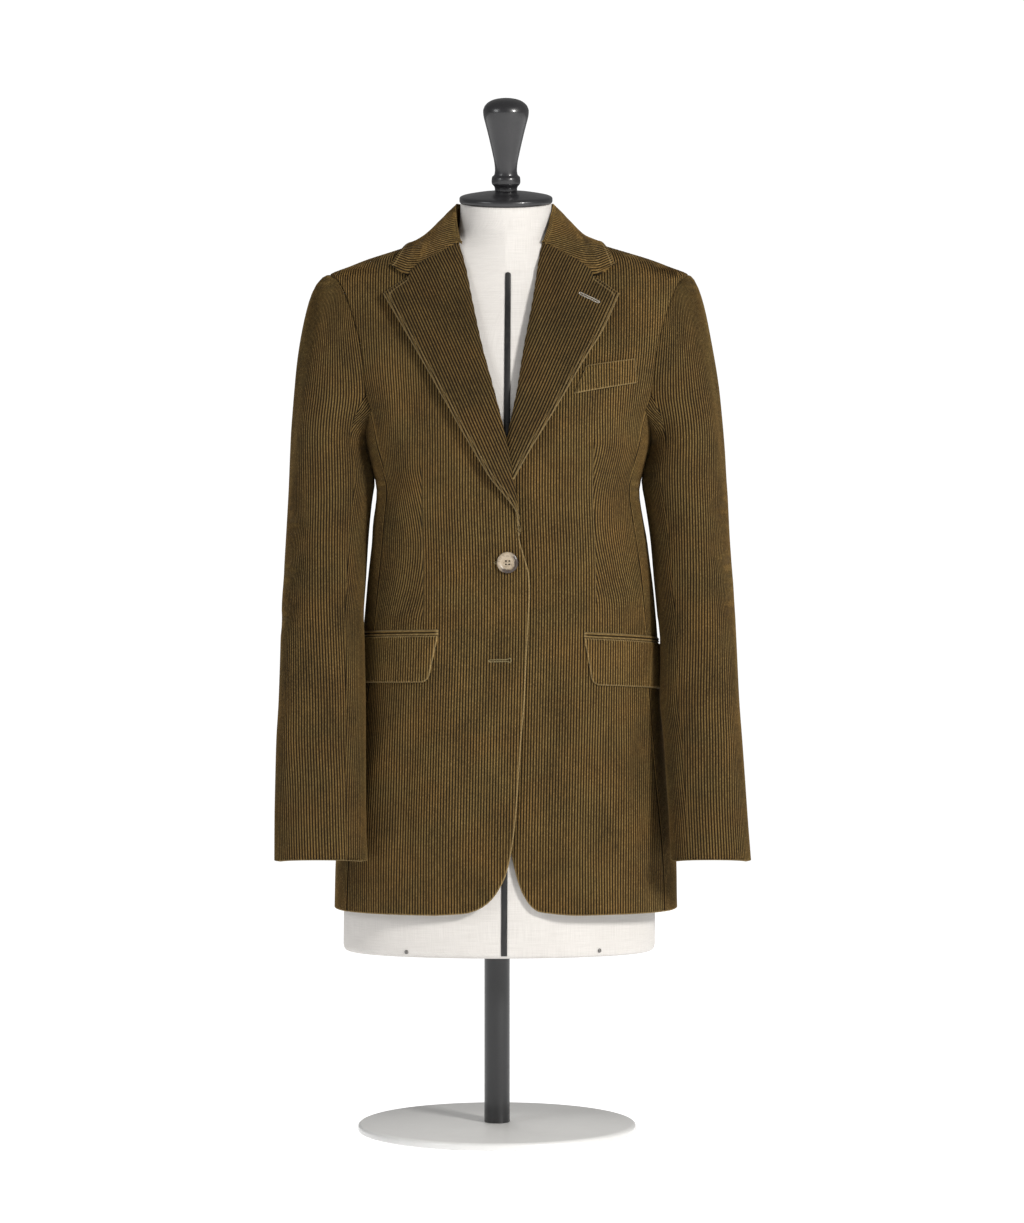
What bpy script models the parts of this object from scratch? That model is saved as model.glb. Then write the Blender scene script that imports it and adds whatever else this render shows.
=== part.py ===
"""
Single-breasted corduroy blazer on a limbless dress form with a turned knob and a round-based stand.

Right and left are the wearer's. The front faces -Y, the wearer's left is at +X, and up is +Z.
Tables and sizes are in millimetres, and the finished meshes are in metres. The origin is on the
ground, at the middle of the whole object's box.
"""
import bmesh
import bpy
import numpy as np
from math import pi, radians, tan

MM = 0.001
COLLECTION = "blazer_on_dress_form"

WALL = 2.0             # corduroy with its interlining, as one wall
TRIM_WALL = 1.2        # jets and breast welt
TRIM_LIFT = 1.8        # their faces above the body's
SEAM_GAP = 0.8         # between two pieces that are sewn together
SHOULDER_SEAM_GAP = 1.6
RIGHT, LEFT = -1, 1    # the wearer's sides, as the sign of x

HEM = 240.0
ARMHOLE_BOTTOM = 757.0
ARMHOLE_SIDE = 773.0   # where the side seams end
SHOULDER_TIP = 922.0
NECK = 968.0
SIDE_SEAM = radians(64)


def table(names, *rows):
    """A table with named columns and one row for each section. The first column is the key."""
    return dict(zip(names.split(), np.array(rows, dtype=float).T))


def smooth(section, name, at):
    """A column's value between the rows, on a curve that never overshoots them."""
    keys = next(iter(section.values()))
    values = section[name]
    steps = np.diff(keys)
    slopes = np.diff(values) / steps
    product = slopes[:-1] * slopes[1:]
    total = np.where(product > 0, slopes[:-1] + slopes[1:], 1.0)
    leans = np.concatenate(([slopes[0]], np.where(product > 0, 2 * product / total, 0.0), [slopes[-1]]))
    at = np.clip(at, keys[0], keys[-1])
    row = np.clip(np.searchsorted(keys, at, side="right") - 1, 0, len(steps) - 1)
    t = (at - keys[row]) / steps[row]
    rise = values[row] * (1 + 2 * t) * (1 - t) ** 2 + values[row + 1] * (3 - 2 * t) * t ** 2
    lean = leans[row] * t * (1 - t) ** 2 - leans[row + 1] * (1 - t) * t ** 2
    return rise + lean * steps[row]


def ease(value, start, end):
    """0 up to start, 1 from end on, and an S-curve between."""
    t = np.clip((value - start) / (end - start), 0, 1)
    return t * t * (3 - 2 * t)


# ---- The jacket's outer face: level sections of the closed body, from the hem to the neck ----
BODY = table(
    "height half_width front back squareness centre",
    (240, 184, 114, 118, 2.45, -7.5), (290, 182, 114, 119, 2.45, -7.5), (388, 171.5, 114, 121, 2.4, -6),
    (464, 163.5, 114, 121, 2.35, -4.5), (524, 159, 112, 115, 2.3, -3.2), (557, 156, 110, 107, 2.3, -2.8),
    (598, 152.4, 108, 98, 2.3, -2.8), (624, 149.3, 107, 92, 2.3, -3.4), (658, 145, 107, 86, 2.3, -4.6),
    (690, 141, 109, 84, 2.3, -5.2), (713, 146, 113, 87, 2.3, -5), (736, 152, 116, 92, 2.3, -5),
    (758, 156, 117, 97, 2.3, -5), (788, 168, 113, 104, 2.25, -4.5), (812, 181, 106, 109, 2.2, -4.5),
    (838, 193, 96, 112, 2.15, -4), (868, 201, 83, 112, 2.1, -4), (898, 203, 69, 104, 2.05, -4),
    (913, 201, 62, 92, 2, -4), (922, 194, 59, 84, 2, -4), (930, 174, 55, 77, 2, -4),
    (938.5, 152, 51, 70, 2, -4.5), (945, 131, 48, 66, 2, -5), (951.5, 110, 45, 62, 2, -6),
    (960, 84, 39, 59, 2, -7), (968, 58, 33, 56, 2, -7), (985, 8, 5, 8, 2, -7))

# Half width of the body where the sleeve is set in.
ARMHOLE = table(
    "height half_width",
    (773, 146.2), (790, 152), (808, 154.5), (825, 155.5), (851, 160.5), (884, 170.5), (904, 178),
    (914, 184), (922, 194))

# Front edges, then the line along which each lapel rolls, held back under the lapel's fold.
RIGHT_FRONT_EDGE = table(
    "height x",
    (240, -82), (242.5, -49), (251, -29), (264.5, -16.5), (284, -7), (304, -2), (341, 3), (425, 9),
    (467, 12.5), (511, 14.5), (549, 16.5), (581, 18), (598, 17), (615, 12.5), (634, 7), (650, 4),
    (676, -1), (707, -5), (740, -12), (780, -22.5), (797, -27), (855, -41.5), (918, -53.5),
    (952, -60), (960, -61), (968, -62.5))
LEFT_FRONT_EDGE = table(
    "height x",
    (240, 66), (241.5, 45), (244, 27), (255, 15), (272, 6.5), (301, -1), (341, -9), (425, -17),
    (467, -22), (511, -25), (549, -27.5), (598, -29), (634, -21), (650, -15), (676, -11), (707, -6),
    (740, -1), (757, 4.5), (801, 18.5), (866, 28.5), (938, 38), (952, 44.5), (960, 46), (968, 47.5))
HEM_LEVELS = (240, 242, 246, 253, 263)
LEVELS = (280, 305, 345, 390, 440, 490, 535, 575, 610, 645, 675, 705, 736, ARMHOLE_SIDE)
ARMHOLE_LEVELS = (792, 812, 838, 862, 884, 902, 914, 922, 930, 938.5, 945, 951.5, 960, 968)
FRONT_LEVELS = HEM_LEVELS + LEVELS + ARMHOLE_LEVELS
BACK_LEVELS = (240,) + LEVELS + ARMHOLE_LEVELS

# The left front lies this far under the right one where they lap.
LAP_DEPTH = 5.6
LAP_FULL, LAP_END = 26.0, 62.0
LAP_TOP, LAP_FADED = 745.0, 800.0


def body_point(angle, height):
    """Point of the outer face. The angle is 0 at centre front and a quarter turn at the left side."""
    power = 2 / smooth(BODY, "squareness", height)
    side, facing = np.sin(angle), np.cos(angle)
    x = smooth(BODY, "half_width", height) * np.sign(side) * np.abs(side) ** power
    depth = np.where(facing > 0, -smooth(BODY, "front", height), smooth(BODY, "back", height))
    return np.stack((smooth(BODY, "centre", height) + x, depth * np.abs(facing) ** power,
                     height + 0 * angle), axis=-1)


def body_out(angle, height):
    """Unit vector straight out of the outer face."""
    around = body_point(angle + 0.01, height) - body_point(angle - 0.01, height)
    up = body_point(angle, height + 0.5) - body_point(angle, height - 0.5)
    out = np.cross(around, up)
    return out / np.linalg.norm(out, axis=-1, keepdims=True)


def on_body(angle, height, out):
    """Point at a distance out of the outer face."""
    return body_point(angle, height) + body_out(angle, height) * np.expand_dims(out + 0 * angle, -1)


def angle_of(x, height):
    """Angle of the front's point at x."""
    reach = (x - smooth(BODY, "centre", height)) / smooth(BODY, "half_width", height)
    power = smooth(BODY, "squareness", height) / 2
    return np.sign(reach) * np.arcsin(np.clip(np.abs(reach), 0, 1) ** power)


def on_front(x, height, out):
    return on_body(angle_of(x, height), height, out)


def half_gap(angle, height):
    """Half of the gap at a seam, as an angle."""
    around = body_point(angle + 0.01, height) - body_point(angle - 0.01, height)
    gap = np.where(height < SHOULDER_TIP - 9, SEAM_GAP, SHOULDER_SEAM_GAP)
    return gap / 2 / (np.linalg.norm(around, axis=-1) / 0.02)


def armhole_angle(height):
    """Angle where a front ends: at the side seam, the armhole, then the shoulder seam."""
    reach = smooth(ARMHOLE, "half_width", height) / smooth(BODY, "half_width", height)
    set_in = np.arcsin(np.clip(reach, 0, 1) ** (smooth(BODY, "squareness", height) / 2))
    return np.where(height < ARMHOLE_SIDE, SIDE_SEAM, np.where(height < SHOULDER_TIP, set_in, pi / 2))


def lap_inset(x, height):
    """How far the left front lies inside the outer face, under the right front and its lapel."""
    return LAP_DEPTH * (1 - ease(x, LAP_FULL, LAP_END)) * (1 - ease(height, LAP_TOP, LAP_FADED))


def inset_of(side, x, height):
    return lap_inset(x, height) if side == LEFT else 0.0


# ---- Making solids ----
def material(name, colour, roughness, metallic=0.0):
    """A Principled material, made once and shared by the pieces of one stuff."""
    if name not in bpy.data.materials:
        made = bpy.data.materials.new(name)
        made.use_nodes = True
        shader = made.node_tree.nodes["Principled BSDF"]
        shader.inputs["Base Color"].default_value = (*colour, 1)
        shader.inputs["Roughness"].default_value = roughness
        shader.inputs["Metallic"].default_value = metallic
    return bpy.data.materials[name]


def corduroy():
    return material("olive_corduroy", (0.095, 0.060, 0.022), 0.9)


def linen():
    return material("off_white_linen", (0.78, 0.75, 0.69), 0.85)


def black_lacquer():
    return material("black_lacquer", (0.012, 0.012, 0.013), 0.3)


def pale_lacquer():
    return material("pale_lacquer", (0.82, 0.81, 0.79), 0.4)


def horn():
    return material("pale_horn", (0.62, 0.53, 0.40), 0.35)


def add_object(name, shape, stuff):
    """Puts a finished bmesh in the scene as one named piece with its material."""
    mesh = bpy.data.meshes.new(name)
    shape.to_mesh(mesh)
    shape.free()
    mesh.materials.append(stuff)
    mesh.shade_smooth()
    mesh.set_sharp_from_angle(angle=radians(45))
    piece = bpy.data.objects.new(name, mesh)
    bpy.data.collections[COLLECTION].objects.link(piece)
    return piece


def cloth(name, across, along, place, turned, stuff, wall=WALL):
    """A cloth piece: a flat grid whose points are moved to place(u, v), with its wall inside them."""
    grid = bmesh.new()
    bmesh.ops.create_grid(grid, x_segments=across, y_segments=along, size=1)
    flat = np.array([vertex.co[:2] for vertex in grid.verts])
    flat = (flat - flat.min(axis=0)) / (flat.max(axis=0) - flat.min(axis=0))
    for vertex, point in zip(grid.verts, place(flat[:, 0], flat[:, 1]) * MM):
        vertex.co = point
    if turned:
        bmesh.ops.reverse_faces(grid, faces=grid.faces)
    piece = add_object(name, grid, stuff)
    solidify = piece.modifiers.new("wall", "SOLIDIFY")
    solidify.thickness = wall * MM
    solidify.offset = -1
    return piece


def turned_piece(name, profile, steps, stuff):
    """A turned piece from (radius, height) points, top to bottom on its outer side."""
    line = bmesh.new()
    points = [line.verts.new((radius * MM, 0, height * MM)) for radius, height in profile]
    for first, second in zip(points, points[1:]):
        line.edges.new((first, second))
    piece = add_object(name, line, stuff)
    screw = piece.modifiers.new("turning", "SCREW")
    screw.steps = steps
    screw.render_steps = steps
    screw.use_merge_vertices = True
    screw.merge_threshold = 0.00005
    return piece


def spread(steps):
    """Turns an even 0..1 into the given uneven steps."""
    even = np.linspace(0, 1, len(steps))
    return lambda value: np.interp(value, even, steps)


# ---- Jacket body ----
def make_front(side, edge, name):
    heights = spread(FRONT_LEVELS)

    def place(u, v):
        height = heights(v)
        inner = angle_of(smooth(edge, "x", height), height)
        outer = armhole_angle(height)
        outer = side * (outer - half_gap(outer, height))
        angle = inner + (outer - inner) * u
        x = body_point(angle, height)[:, 0]
        return on_body(angle, height, -inset_of(side, x, height))

    cloth(name, 10, len(FRONT_LEVELS) - 1, place, side == RIGHT, corduroy())


def make_side_panel(side, name):
    heights = spread((HEM,) + LEVELS)

    def place(u, v):
        first, last = SIDE_SEAM, pi - SIDE_SEAM
        angle = first + (last - first) * u
        angle = np.clip(angle, first + half_gap(first, HEM), last - half_gap(last, HEM))
        dip = (np.cos(angle) / np.cos(SIDE_SEAM)) ** 2
        height = heights(v)
        top = ARMHOLE_BOTTOM + (ARMHOLE_SIDE - ARMHOLE_BOTTOM) * dip
        height = np.minimum(height, top + (height - ARMHOLE_SIDE) * 0.4)
        return on_body(side * angle, height, 0)

    cloth(name, 6, len(LEVELS), place, side == RIGHT, corduroy())


def make_back(side, name):
    heights = spread(BACK_LEVELS)

    def place(u, v):
        height = heights(v)
        outer = pi - armhole_angle(height)
        outer = outer + half_gap(outer, height)
        middle = pi - half_gap(pi + 0 * height, height)
        return on_body(side * (outer + (middle - outer) * u), height, 0)

    cloth(name, 8, len(BACK_LEVELS) - 1, place, side == RIGHT, corduroy())


# ---- Lapels: facings that roll over the front edges and lie on the fronts ----
RIGHT_LAPEL = table(
    "along roll_x roll_height edge_x edge_height",
    (0, 9, 646, 6.5, 636), (0.12, 4.3, 676, 5.5, 657), (0.28, -2, 715, -24, 700.5),
    (0.42, -10, 752, -50, 744), (0.58, -21, 795, -79.5, 795.5), (0.72, -32.5, 838, -100, 831.5),
    (0.86, -44, 893, -119, 864.5), (0.93, -49, 919, -128, 880), (1, -57.4, 952, -136, 894))
LEFT_LAPEL = table(
    "along roll_x roll_height edge_x edge_height",
    (0, -20, 648, -17.5, 638), (0.12, -16, 676, -13, 666), (0.28, -10.5, 715, 5, 705),
    (0.42, -2.5, 757, 27, 743), (0.58, 5.2, 795, 50, 781), (0.72, 12, 838, 73.5, 821),
    (0.86, 23, 893, 94, 854), (0.95, 31, 937, 105, 878), (1, 37, 952, 111.5, 893.5))
LAPEL_COLUMNS = (0, 0.02, 0.06, 0.11, 0.2, 0.4, 0.7, 1)
LAPEL_FLAT = 2.7       # the lapel's face above its front, where it lies flat
LAPEL_CREST = 5.4      # and along its rolled edge higher up
CREST_RISE = 0.42, 0.75
EDGE_RISE = 0.4        # its outer edge stands this much further off
ROLL_WIDTH = 0.16      # share of the lapel's width that the roll takes
ROLL_RISE = 0.02, 0.3  # shares of its length where the roll begins and is whole


def lapel_lift(u, along):
    """Height of the lapel's face above the front, turning down at the rolled edge."""
    crest = LAPEL_FLAT + (LAPEL_CREST - LAPEL_FLAT) * ease(along, *CREST_RISE)
    rounded = np.sqrt(1 - (1 - np.clip(u / ROLL_WIDTH, 0, 1)) ** 2)
    turn = ease(along, *ROLL_RISE)
    return (crest + (LAPEL_FLAT + EDGE_RISE - crest) * u) * (1 - turn * (1 - rounded))


def make_lapel(side, lapel, name):
    columns = spread(LAPEL_COLUMNS)

    def place(u, v):
        u = columns(u)
        x = smooth(lapel, "roll_x", v) * (1 - u) + smooth(lapel, "edge_x", v) * u
        height = smooth(lapel, "roll_height", v) * (1 - u) + smooth(lapel, "edge_height", v) * u
        return on_front(x, height, lapel_lift(u, v) - inset_of(side, x, height))

    cloth(name, len(LAPEL_COLUMNS) - 1, 18, place, side == RIGHT, corduroy())


# ---- Collar: a stand round the neck that folds over into a fall on the shoulders ----
COLLAR_X = -7.0
COLLAR = table(
    "along seam_angle seam_height fold_x fold_y fold_height edge_x edge_y edge_height",
    (0, 180, 968, 0, 60, 1003, 0, 73, 948), (0.25, 133, 968, 41, 43, 1003, 60, 59, 948),
    (0.5, 90, 968, 53, 6, 1000, 93, 20, 951), (0.7, 55, 964.5, 53.5, -15, 988, 107, -12, 946),
    (0.85, 37, 957.5, 51.5, -32, 971, 117, -34, 936), (1, 26.5, 952.5, 49.5, -46, 953.5, 126, -47, 927))
FOLD_IN_LEFT, EDGE_IN_LEFT = 6.0, 9.4    # the left front end sits closer to the neck
SEAM_LIFT = 1.2
COLLAR_COLUMNS = (0, 0.4, 0.75, 0.92, 1, 1.06, 1.15, 1.32, 1.5, 1.63, 1.8, 2)
NOTCH = 0.63                              # share of the fall's width where the lapel's notch is
GORGE = table(                            # front end of the collar: roll line, notch, then corner
    "over x height lift",
    (0, 50.4, 955, 2.6), (0.06, 55, 951.5, 5.2), (0.2, 67.5, 943.8, 5.4), (NOTCH, 102.8, 918.3, 4.4),
    (0.8, 113, 922, 4.2), (1, 125.5, 928.5, 4.2))
FALL_BULGE = 1.6
BULGE_RISE = 0.6                          # how much of the bulge is upward
BULGE_POWER = 0.75
FRONT_FALL = 0.72                         # along the collar, where the fall starts turning to the gorge
COLLAR_CLEAR = 4.2                        # fall's face above the body's face
CLEAR_FROM = 0.15                         # and the share of the fall past which it is kept there


def clear_of_body(points, gap):
    """Moves points that are nearer the body than the gap straight out to it."""
    def measure(at):
        level = np.clip(at[:, 2], HEM, 985)
        power = smooth(BODY, "squareness", level)
        depth = np.where(at[:, 1] < 0, smooth(BODY, "front", level), smooth(BODY, "back", level))
        wide = np.abs(at[:, 0] - smooth(BODY, "centre", level)) / smooth(BODY, "half_width", level)
        return (wide ** power + (np.abs(at[:, 1]) / depth) ** power) ** (1 / power)

    for _ in range(4):
        here = measure(points)
        slope = np.stack([(measure(points + step) - measure(points - step)) / 0.4
                          for step in np.eye(3) * 0.2], axis=-1)
        steep = np.linalg.norm(slope, axis=-1)
        short = np.clip(gap - (here - 1) / steep, 0, 6)
        points = points + slope * (short / steep)[:, None]
    return points


def collar_place(u, v):
    """Point of the collar. u runs from the neck seam over the fold to the edge, v from right to left."""
    across = spread(COLLAR_COLUMNS)(u)
    reach = 2 * v - 1
    along, side = np.abs(reach), np.where(reach < 0, RIGHT, LEFT)
    left = (side > 0) * along

    def guide(name, moved_in):
        x = side * smooth(COLLAR, name + "_x", along) - left * moved_in + COLLAR_X
        y, height = smooth(COLLAR, name + "_y", along), smooth(COLLAR, name + "_height", along)
        return np.stack((x, y, height), axis=-1)

    fold, edge = guide("fold", FOLD_IN_LEFT), guide("edge", EDGE_IN_LEFT)
    seam = on_body(side * np.radians(smooth(COLLAR, "seam_angle", along)),
                   smooth(COLLAR, "seam_height", along), SEAM_LIFT)
    up = np.clip(across, 0, 1)[:, None]
    over = np.clip(across - 1, 0, 1)[:, None]
    out = np.stack((edge[:, 0] - fold[:, 0], edge[:, 1] - fold[:, 1], 0 * along), axis=-1)
    out = out / np.linalg.norm(out, axis=-1, keepdims=True)
    arch = np.clip(4 * over * (1 - over), 0, 1) ** BULGE_POWER * FALL_BULGE
    lift = out + np.array((0, 0, BULGE_RISE))
    stand = seam + (fold - seam) * up
    fall = fold + (edge - fold) * over + lift * arch
    over = over[:, 0]
    moved_in = left * (FOLD_IN_LEFT + (EDGE_IN_LEFT - FOLD_IN_LEFT) * np.clip(over / NOTCH, 0, 1))
    gorge = on_front(side * smooth(GORGE, "x", over) - moved_in + COLLAR_X,
                     smooth(GORGE, "height", over), smooth(GORGE, "lift", over))
    near_front = ease(along, FRONT_FALL, 1)[:, None]
    fall = fall + (gorge - fall) * near_front
    fall = np.where(over[:, None] > CLEAR_FROM, clear_of_body(fall, COLLAR_CLEAR), fall)
    return np.where(up < 1, stand, fall)


def make_collar():
    cloth("collar", len(COLLAR_COLUMNS) - 1, 32, collar_place, True, corduroy(), 1.8)


# ---- Two-piece sleeves ----
SLEEVE = table(
    "height right_inner right_outer right_y left_inner left_outer left_y half_depth",
    (296, 153.8, 250, -97, 166.6, 250, -93, 38), (339, 155.2, 250.2, -91, 165.5, 247.2, -84, 40),
    (380, 155.7, 249.8, -85, 164.5, 245, -74, 42), (422, 156.1, 249.2, -78, 163.9, 242.6, -64, 45),
    (465, 156.6, 247.3, -69, 162.3, 240.1, -53, 48), (524, 158.3, 246.3, -55, 156.5, 238.2, -39, 52),
    (556, 159, 246.2, -43, 154.6, 237.3, -29, 54), (593, 158, 244.9, -29, 152.3, 235.6, -19, 57),
    (636, 156.1, 243.3, -14, 149, 232.9, -9, 60), (679, 152.5, 241.5, -4, 143, 231.1, -3, 62),
    (701, 149.5, 240.6, 0, 139.5, 229.1, 0, 64), (735, 156, 238.3, 2, 146, 226.5, 2, 66))
SLEEVE_CLEAR = table("height gap", (296, 3), (468, 3), (484, 8), (540, 8), (556, 2.6), (735, 2))
CUFF, SLEEVE_TOP = 296.0, 735.0
CUFF_TILT = 0.08           # the cuff's front edge is a little higher than its back
FOREARM_SEAM = radians(54)
SLEEVE_START = 0.8         # from the armhole's edge to the sleeve's
SLEEVE_RADIUS = 38.0
SLEEVE_TOP_GAP = 3.2       # added to the seam's gap where the sleeve turns down at the armhole
CAP_LEAN = 1.6             # how steeply the sleeve leaves the armhole underneath
CAP_OUT, CAP_OUT_TOP = 4.0, 14.0       # how far it runs out, underneath and added on top
CAP_UP, CAP_UP_TOP = 7.0, 88.0         # how far the tube runs up into the cap, likewise
SLEEVE_ROWS = (0, 0.05, 0.14, 0.3, 0.5, 0.75, 1, 1.1, 1.22, 1.34, 1.46, 1.58, 1.7, 1.85, 2)


def armhole_point(turn, side):
    """Point of the armhole's edge. The turn is 0 underneath, a quarter in front and a half on top."""
    rise = (1 - np.cos(turn)) / 2
    height = ARMHOLE_BOTTOM + (SHOULDER_TIP - ARMHOLE_BOTTOM) * rise
    low = np.sqrt(np.clip((height - ARMHOLE_BOTTOM) / (ARMHOLE_SIDE - ARMHOLE_BOTTOM), 0, 1))
    angle = np.where(height < ARMHOLE_SIDE, np.arccos(np.cos(SIDE_SEAM) * low), armhole_angle(height))
    angle = np.where(np.sin(turn) < 0, pi - angle, angle)
    return body_point(side * angle, height)


def sleeve_ring(turn, height, side):
    word = "left" if side == LEFT else "right"
    inner, outer = smooth(SLEEVE, word + "_inner", height), smooth(SLEEVE, word + "_outer", height)
    x = side * ((inner + outer) / 2 - (outer - inner) / 2 * np.cos(turn))
    deep = smooth(SLEEVE, "half_depth", height) * np.sin(turn)
    tilt = CUFF_TILT * (1 - ease(height, CUFF, CUFF + 60))
    ring = np.stack((x, smooth(SLEEVE, word + "_y", height) - deep, height + tilt * deep), axis=-1)
    return clear_of_body(ring, smooth(SLEEVE_CLEAR, "gap", height))


def sleeve_point(turn, down, side):
    """Down is 0 at the armhole, 1 where the cap ends and 2 at the cuff."""
    top = 0 * turn + SLEEVE_TOP
    start = armhole_point(turn, side) + np.array((side * SLEEVE_START, 0, 0))
    ring = sleeve_ring(turn, top, side)
    along = ring - sleeve_ring(turn, top - 20, side)
    along = along / np.linalg.norm(along, axis=-1, keepdims=True)
    rise = ((1 - np.cos(turn)) / 2)[:, None]
    outward = np.stack((side + 0 * turn, 0 * turn, -CAP_LEAN * np.cos(turn / 2) ** 6), axis=-1)
    outward = outward / np.linalg.norm(outward, axis=-1, keepdims=True)
    first = start + outward * (CAP_OUT + CAP_OUT_TOP * rise)
    second = ring + along * (CAP_UP + CAP_UP_TOP * rise ** 1.25)
    t = np.clip(down, 0, 1)[:, None]
    cap = (start * (1 - t) ** 3 + first * 3 * t * (1 - t) ** 2 + second * 3 * t ** 2 * (1 - t)
           + ring * t ** 3)
    height = SLEEVE_TOP + (CUFF - SLEEVE_TOP) * np.clip(down - 1, 0, 1)
    return np.where(down[:, None] < 1, cap, sleeve_ring(turn, height, side))


def make_sleeve_half(side, first, last, across, name):
    rows = spread(SLEEVE_ROWS)

    def place(u, v):
        down = rows(v)
        gap = (SEAM_GAP + SLEEVE_TOP_GAP * (1 - ease(down, 0.1, 0.5))) / 2 / SLEEVE_RADIUS
        return sleeve_point(first + gap + (last - first - 2 * gap) * u, down, side)

    cloth(name, across, len(SLEEVE_ROWS) - 1, place, side == LEFT, corduroy())


def make_sleeve(side, word):
    make_sleeve_half(side, FOREARM_SEAM, 2 * pi - FOREARM_SEAM, 19, "sleeve_top_" + word)
    make_sleeve_half(side, -FOREARM_SEAM, FOREARM_SEAM, 6, "sleeve_under_" + word)


# ---- Pockets ----
POCKET_END = radians(97)
JET_WIDTH = 6.5
FLAP_LENGTH = 105.0        # about, for the round of its corner
FLAP_DEPTH = 49.0
FLAP_SLANT = 10.0          # the flap's front edge leans back by this much
FLAP_ROUND = 9.0
POCKETS = {                # distance from centre, height at the front end and its drop to the side
    RIGHT: (75.0, 533.5, 2.5),
    LEFT: (77.5, 531.0, 7.5),
}


def pocket_point(side, u, drop, slant, out):
    """Point of a hip pocket. u runs round from its front end, and the drop is below its opening."""
    start, height, fall = POCKETS[side]
    level = height - fall * u - drop
    near = side * (start + slant)
    first = np.abs(angle_of(smooth(BODY, "centre", level) + near, level))
    return on_body(side * (first + (POCKET_END - first) * u), level, out)


def make_flap(side, name):
    def place(u, v):
        from_corner = np.clip(u * FLAP_LENGTH / FLAP_ROUND, 0, 1)
        depth = FLAP_DEPTH - FLAP_ROUND * (1 - np.sqrt(1 - (1 - from_corner) ** 2))
        return pocket_point(side, u, depth * v, FLAP_SLANT * v, 2.5 + 1.0 * v)

    cloth(name, 12, 5, place, side == LEFT, corduroy())


def make_jet(side, name):
    def place(u, v):
        return pocket_point(side, u, -JET_WIDTH + (JET_WIDTH - 0.5) * v, -1.5, TRIM_LIFT)

    cloth(name, 10, 1, place, side == LEFT, corduroy(), TRIM_WALL)


def make_breast_welt():
    """A four-cornered strip. Its corners are (x, height), near the lapel and far from it."""
    near_top, far_top = np.array((76.8, 817.5)), np.array((128.8, 826.5))
    near_low, far_low = np.array((63.6, 787)), np.array((130, 800.5))

    def place(u, v):
        u, v = u[:, None], v[:, None]
        low = near_low + (far_low - near_low) * u
        top = near_top + (far_top - near_top) * u
        x, height = (low * (1 - v) + top * v).T
        return on_front(x, height, TRIM_LIFT)

    cloth("breast_welt", 8, 3, place, False, corduroy(), TRIM_WALL)


# ---- Buttons ----
BUTTON_X = -5.6
TOP_BUTTON, LOWER_BUTTON = 610.0, 507.0
BUTTON_RADIUS = 11.3
BUTTON_PROFILE = ((0, 2.6), (5.2, 2.7), (6.6, 3.3), (9.6, 3.5), (11, 2.6), (11.3, 1.6), (9.5, 0.5), (0, 0))
LOWER_PROFILE = ((0, 2.0), (9.2, 2.0), (10, 1.0), (9.2, 0), (0, 0))


def make_button(name, profile, height, out):
    """A button turned to face the front, its back at a distance out of the body's face."""
    button = turned_piece(name, profile, 24, horn())
    x, y, z = on_front(np.array([BUTTON_X]), np.array([height]), out)[0] * MM
    button.location = (x, y, z)
    button.rotation_euler = (pi / 2, 0, 0)


# ---- Dress form: stuffed linen torso, front strip, neck cap, knob, pole and base ----
FORM = table(
    "height half_width front back squareness",
    (194, 167, 101, 107, 2.1), (196, 168, 102, 108, 2.1), (240, 168, 102, 110, 2.1),
    (350, 163, 102, 112, 2.15), (464, 149, 101, 110, 2.15), (557, 141, 96, 96, 2.1),
    (624, 133, 93, 82, 2.1), (690, 128, 93, 75, 2.1), (736, 136, 100, 81, 2.1),
    (758, 140, 102, 85, 2.1), (788, 146, 101, 91, 2.1), (812, 150, 96, 95, 2.1),
    (838, 155, 87, 97, 2.05), (868, 159, 75, 96, 2), (895, 161, 64, 87, 1.9), (915, 160, 59.5, 77, 1.6),
    (928, 156, 57.5, 66, 1.4), (934, 146, 57, 62, 1.35), (940, 126, 56.5, 59, 1.35),
    (946.5, 104, 55.5, 56, 1.4), (954, 78, 54, 53, 1.5), (961, 58, 52.5, 51, 1.75),
    (970, 51, 51, 50, 1.95), (985, 49.5, 49.5, 49.5, 2), (1000, 49, 49, 49, 2))
FORM_LEVELS = (194, 196, 240, 300, 360, 420, 464, 510, 557, 590, 624, 657, 690, 713, 736, 758, 788,
               812, 838, 868, 895, 915, 928, 940, 948, 955, 961, 970, 985, 1000)
FORM_SIDES = 32
FORM_BOTTOM, NECK_TOP = 194.0, 1000.0
FORM_LOW_X, FORM_TOP_X = -14.8, -7.4
NECK_TILT = radians(13)    # the neck's top slopes down to the front
STRIP_WIDTH = 6.3
STRIP_LOW_X, STRIP_TOP_X = 5.5, 2.9    # from the form's own middle
STRIP_TOP = 919.0
POLE_X = -17.0
POLE_RADIUS = 13.8
BASE_RADIUS, BASE_HEIGHT = 150.0, 8.0
REST_GAP = 0.3


def form_x(height):
    return FORM_LOW_X + (FORM_TOP_X - FORM_LOW_X) * (height - FORM_BOTTOM) / (NECK_TOP - FORM_BOTTOM)


def form_point(angle, height, out=0.0):
    """Point of the linen torso. Its top rings tilt with the neck."""
    power = 2 / smooth(FORM, "squareness", height)
    side, facing = np.sin(angle), np.cos(angle)
    x = (smooth(FORM, "half_width", height) + out) * np.sign(side) * np.abs(side) ** power
    depth = np.where(facing > 0, -smooth(FORM, "front", height) - out, smooth(FORM, "back", height) + out)
    y = depth * np.abs(facing) ** power
    tilt = tan(NECK_TILT) * ease(height, 961, NECK_TOP)
    return np.stack((form_x(height) + x, y, height + tilt * y), axis=-1)


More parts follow.
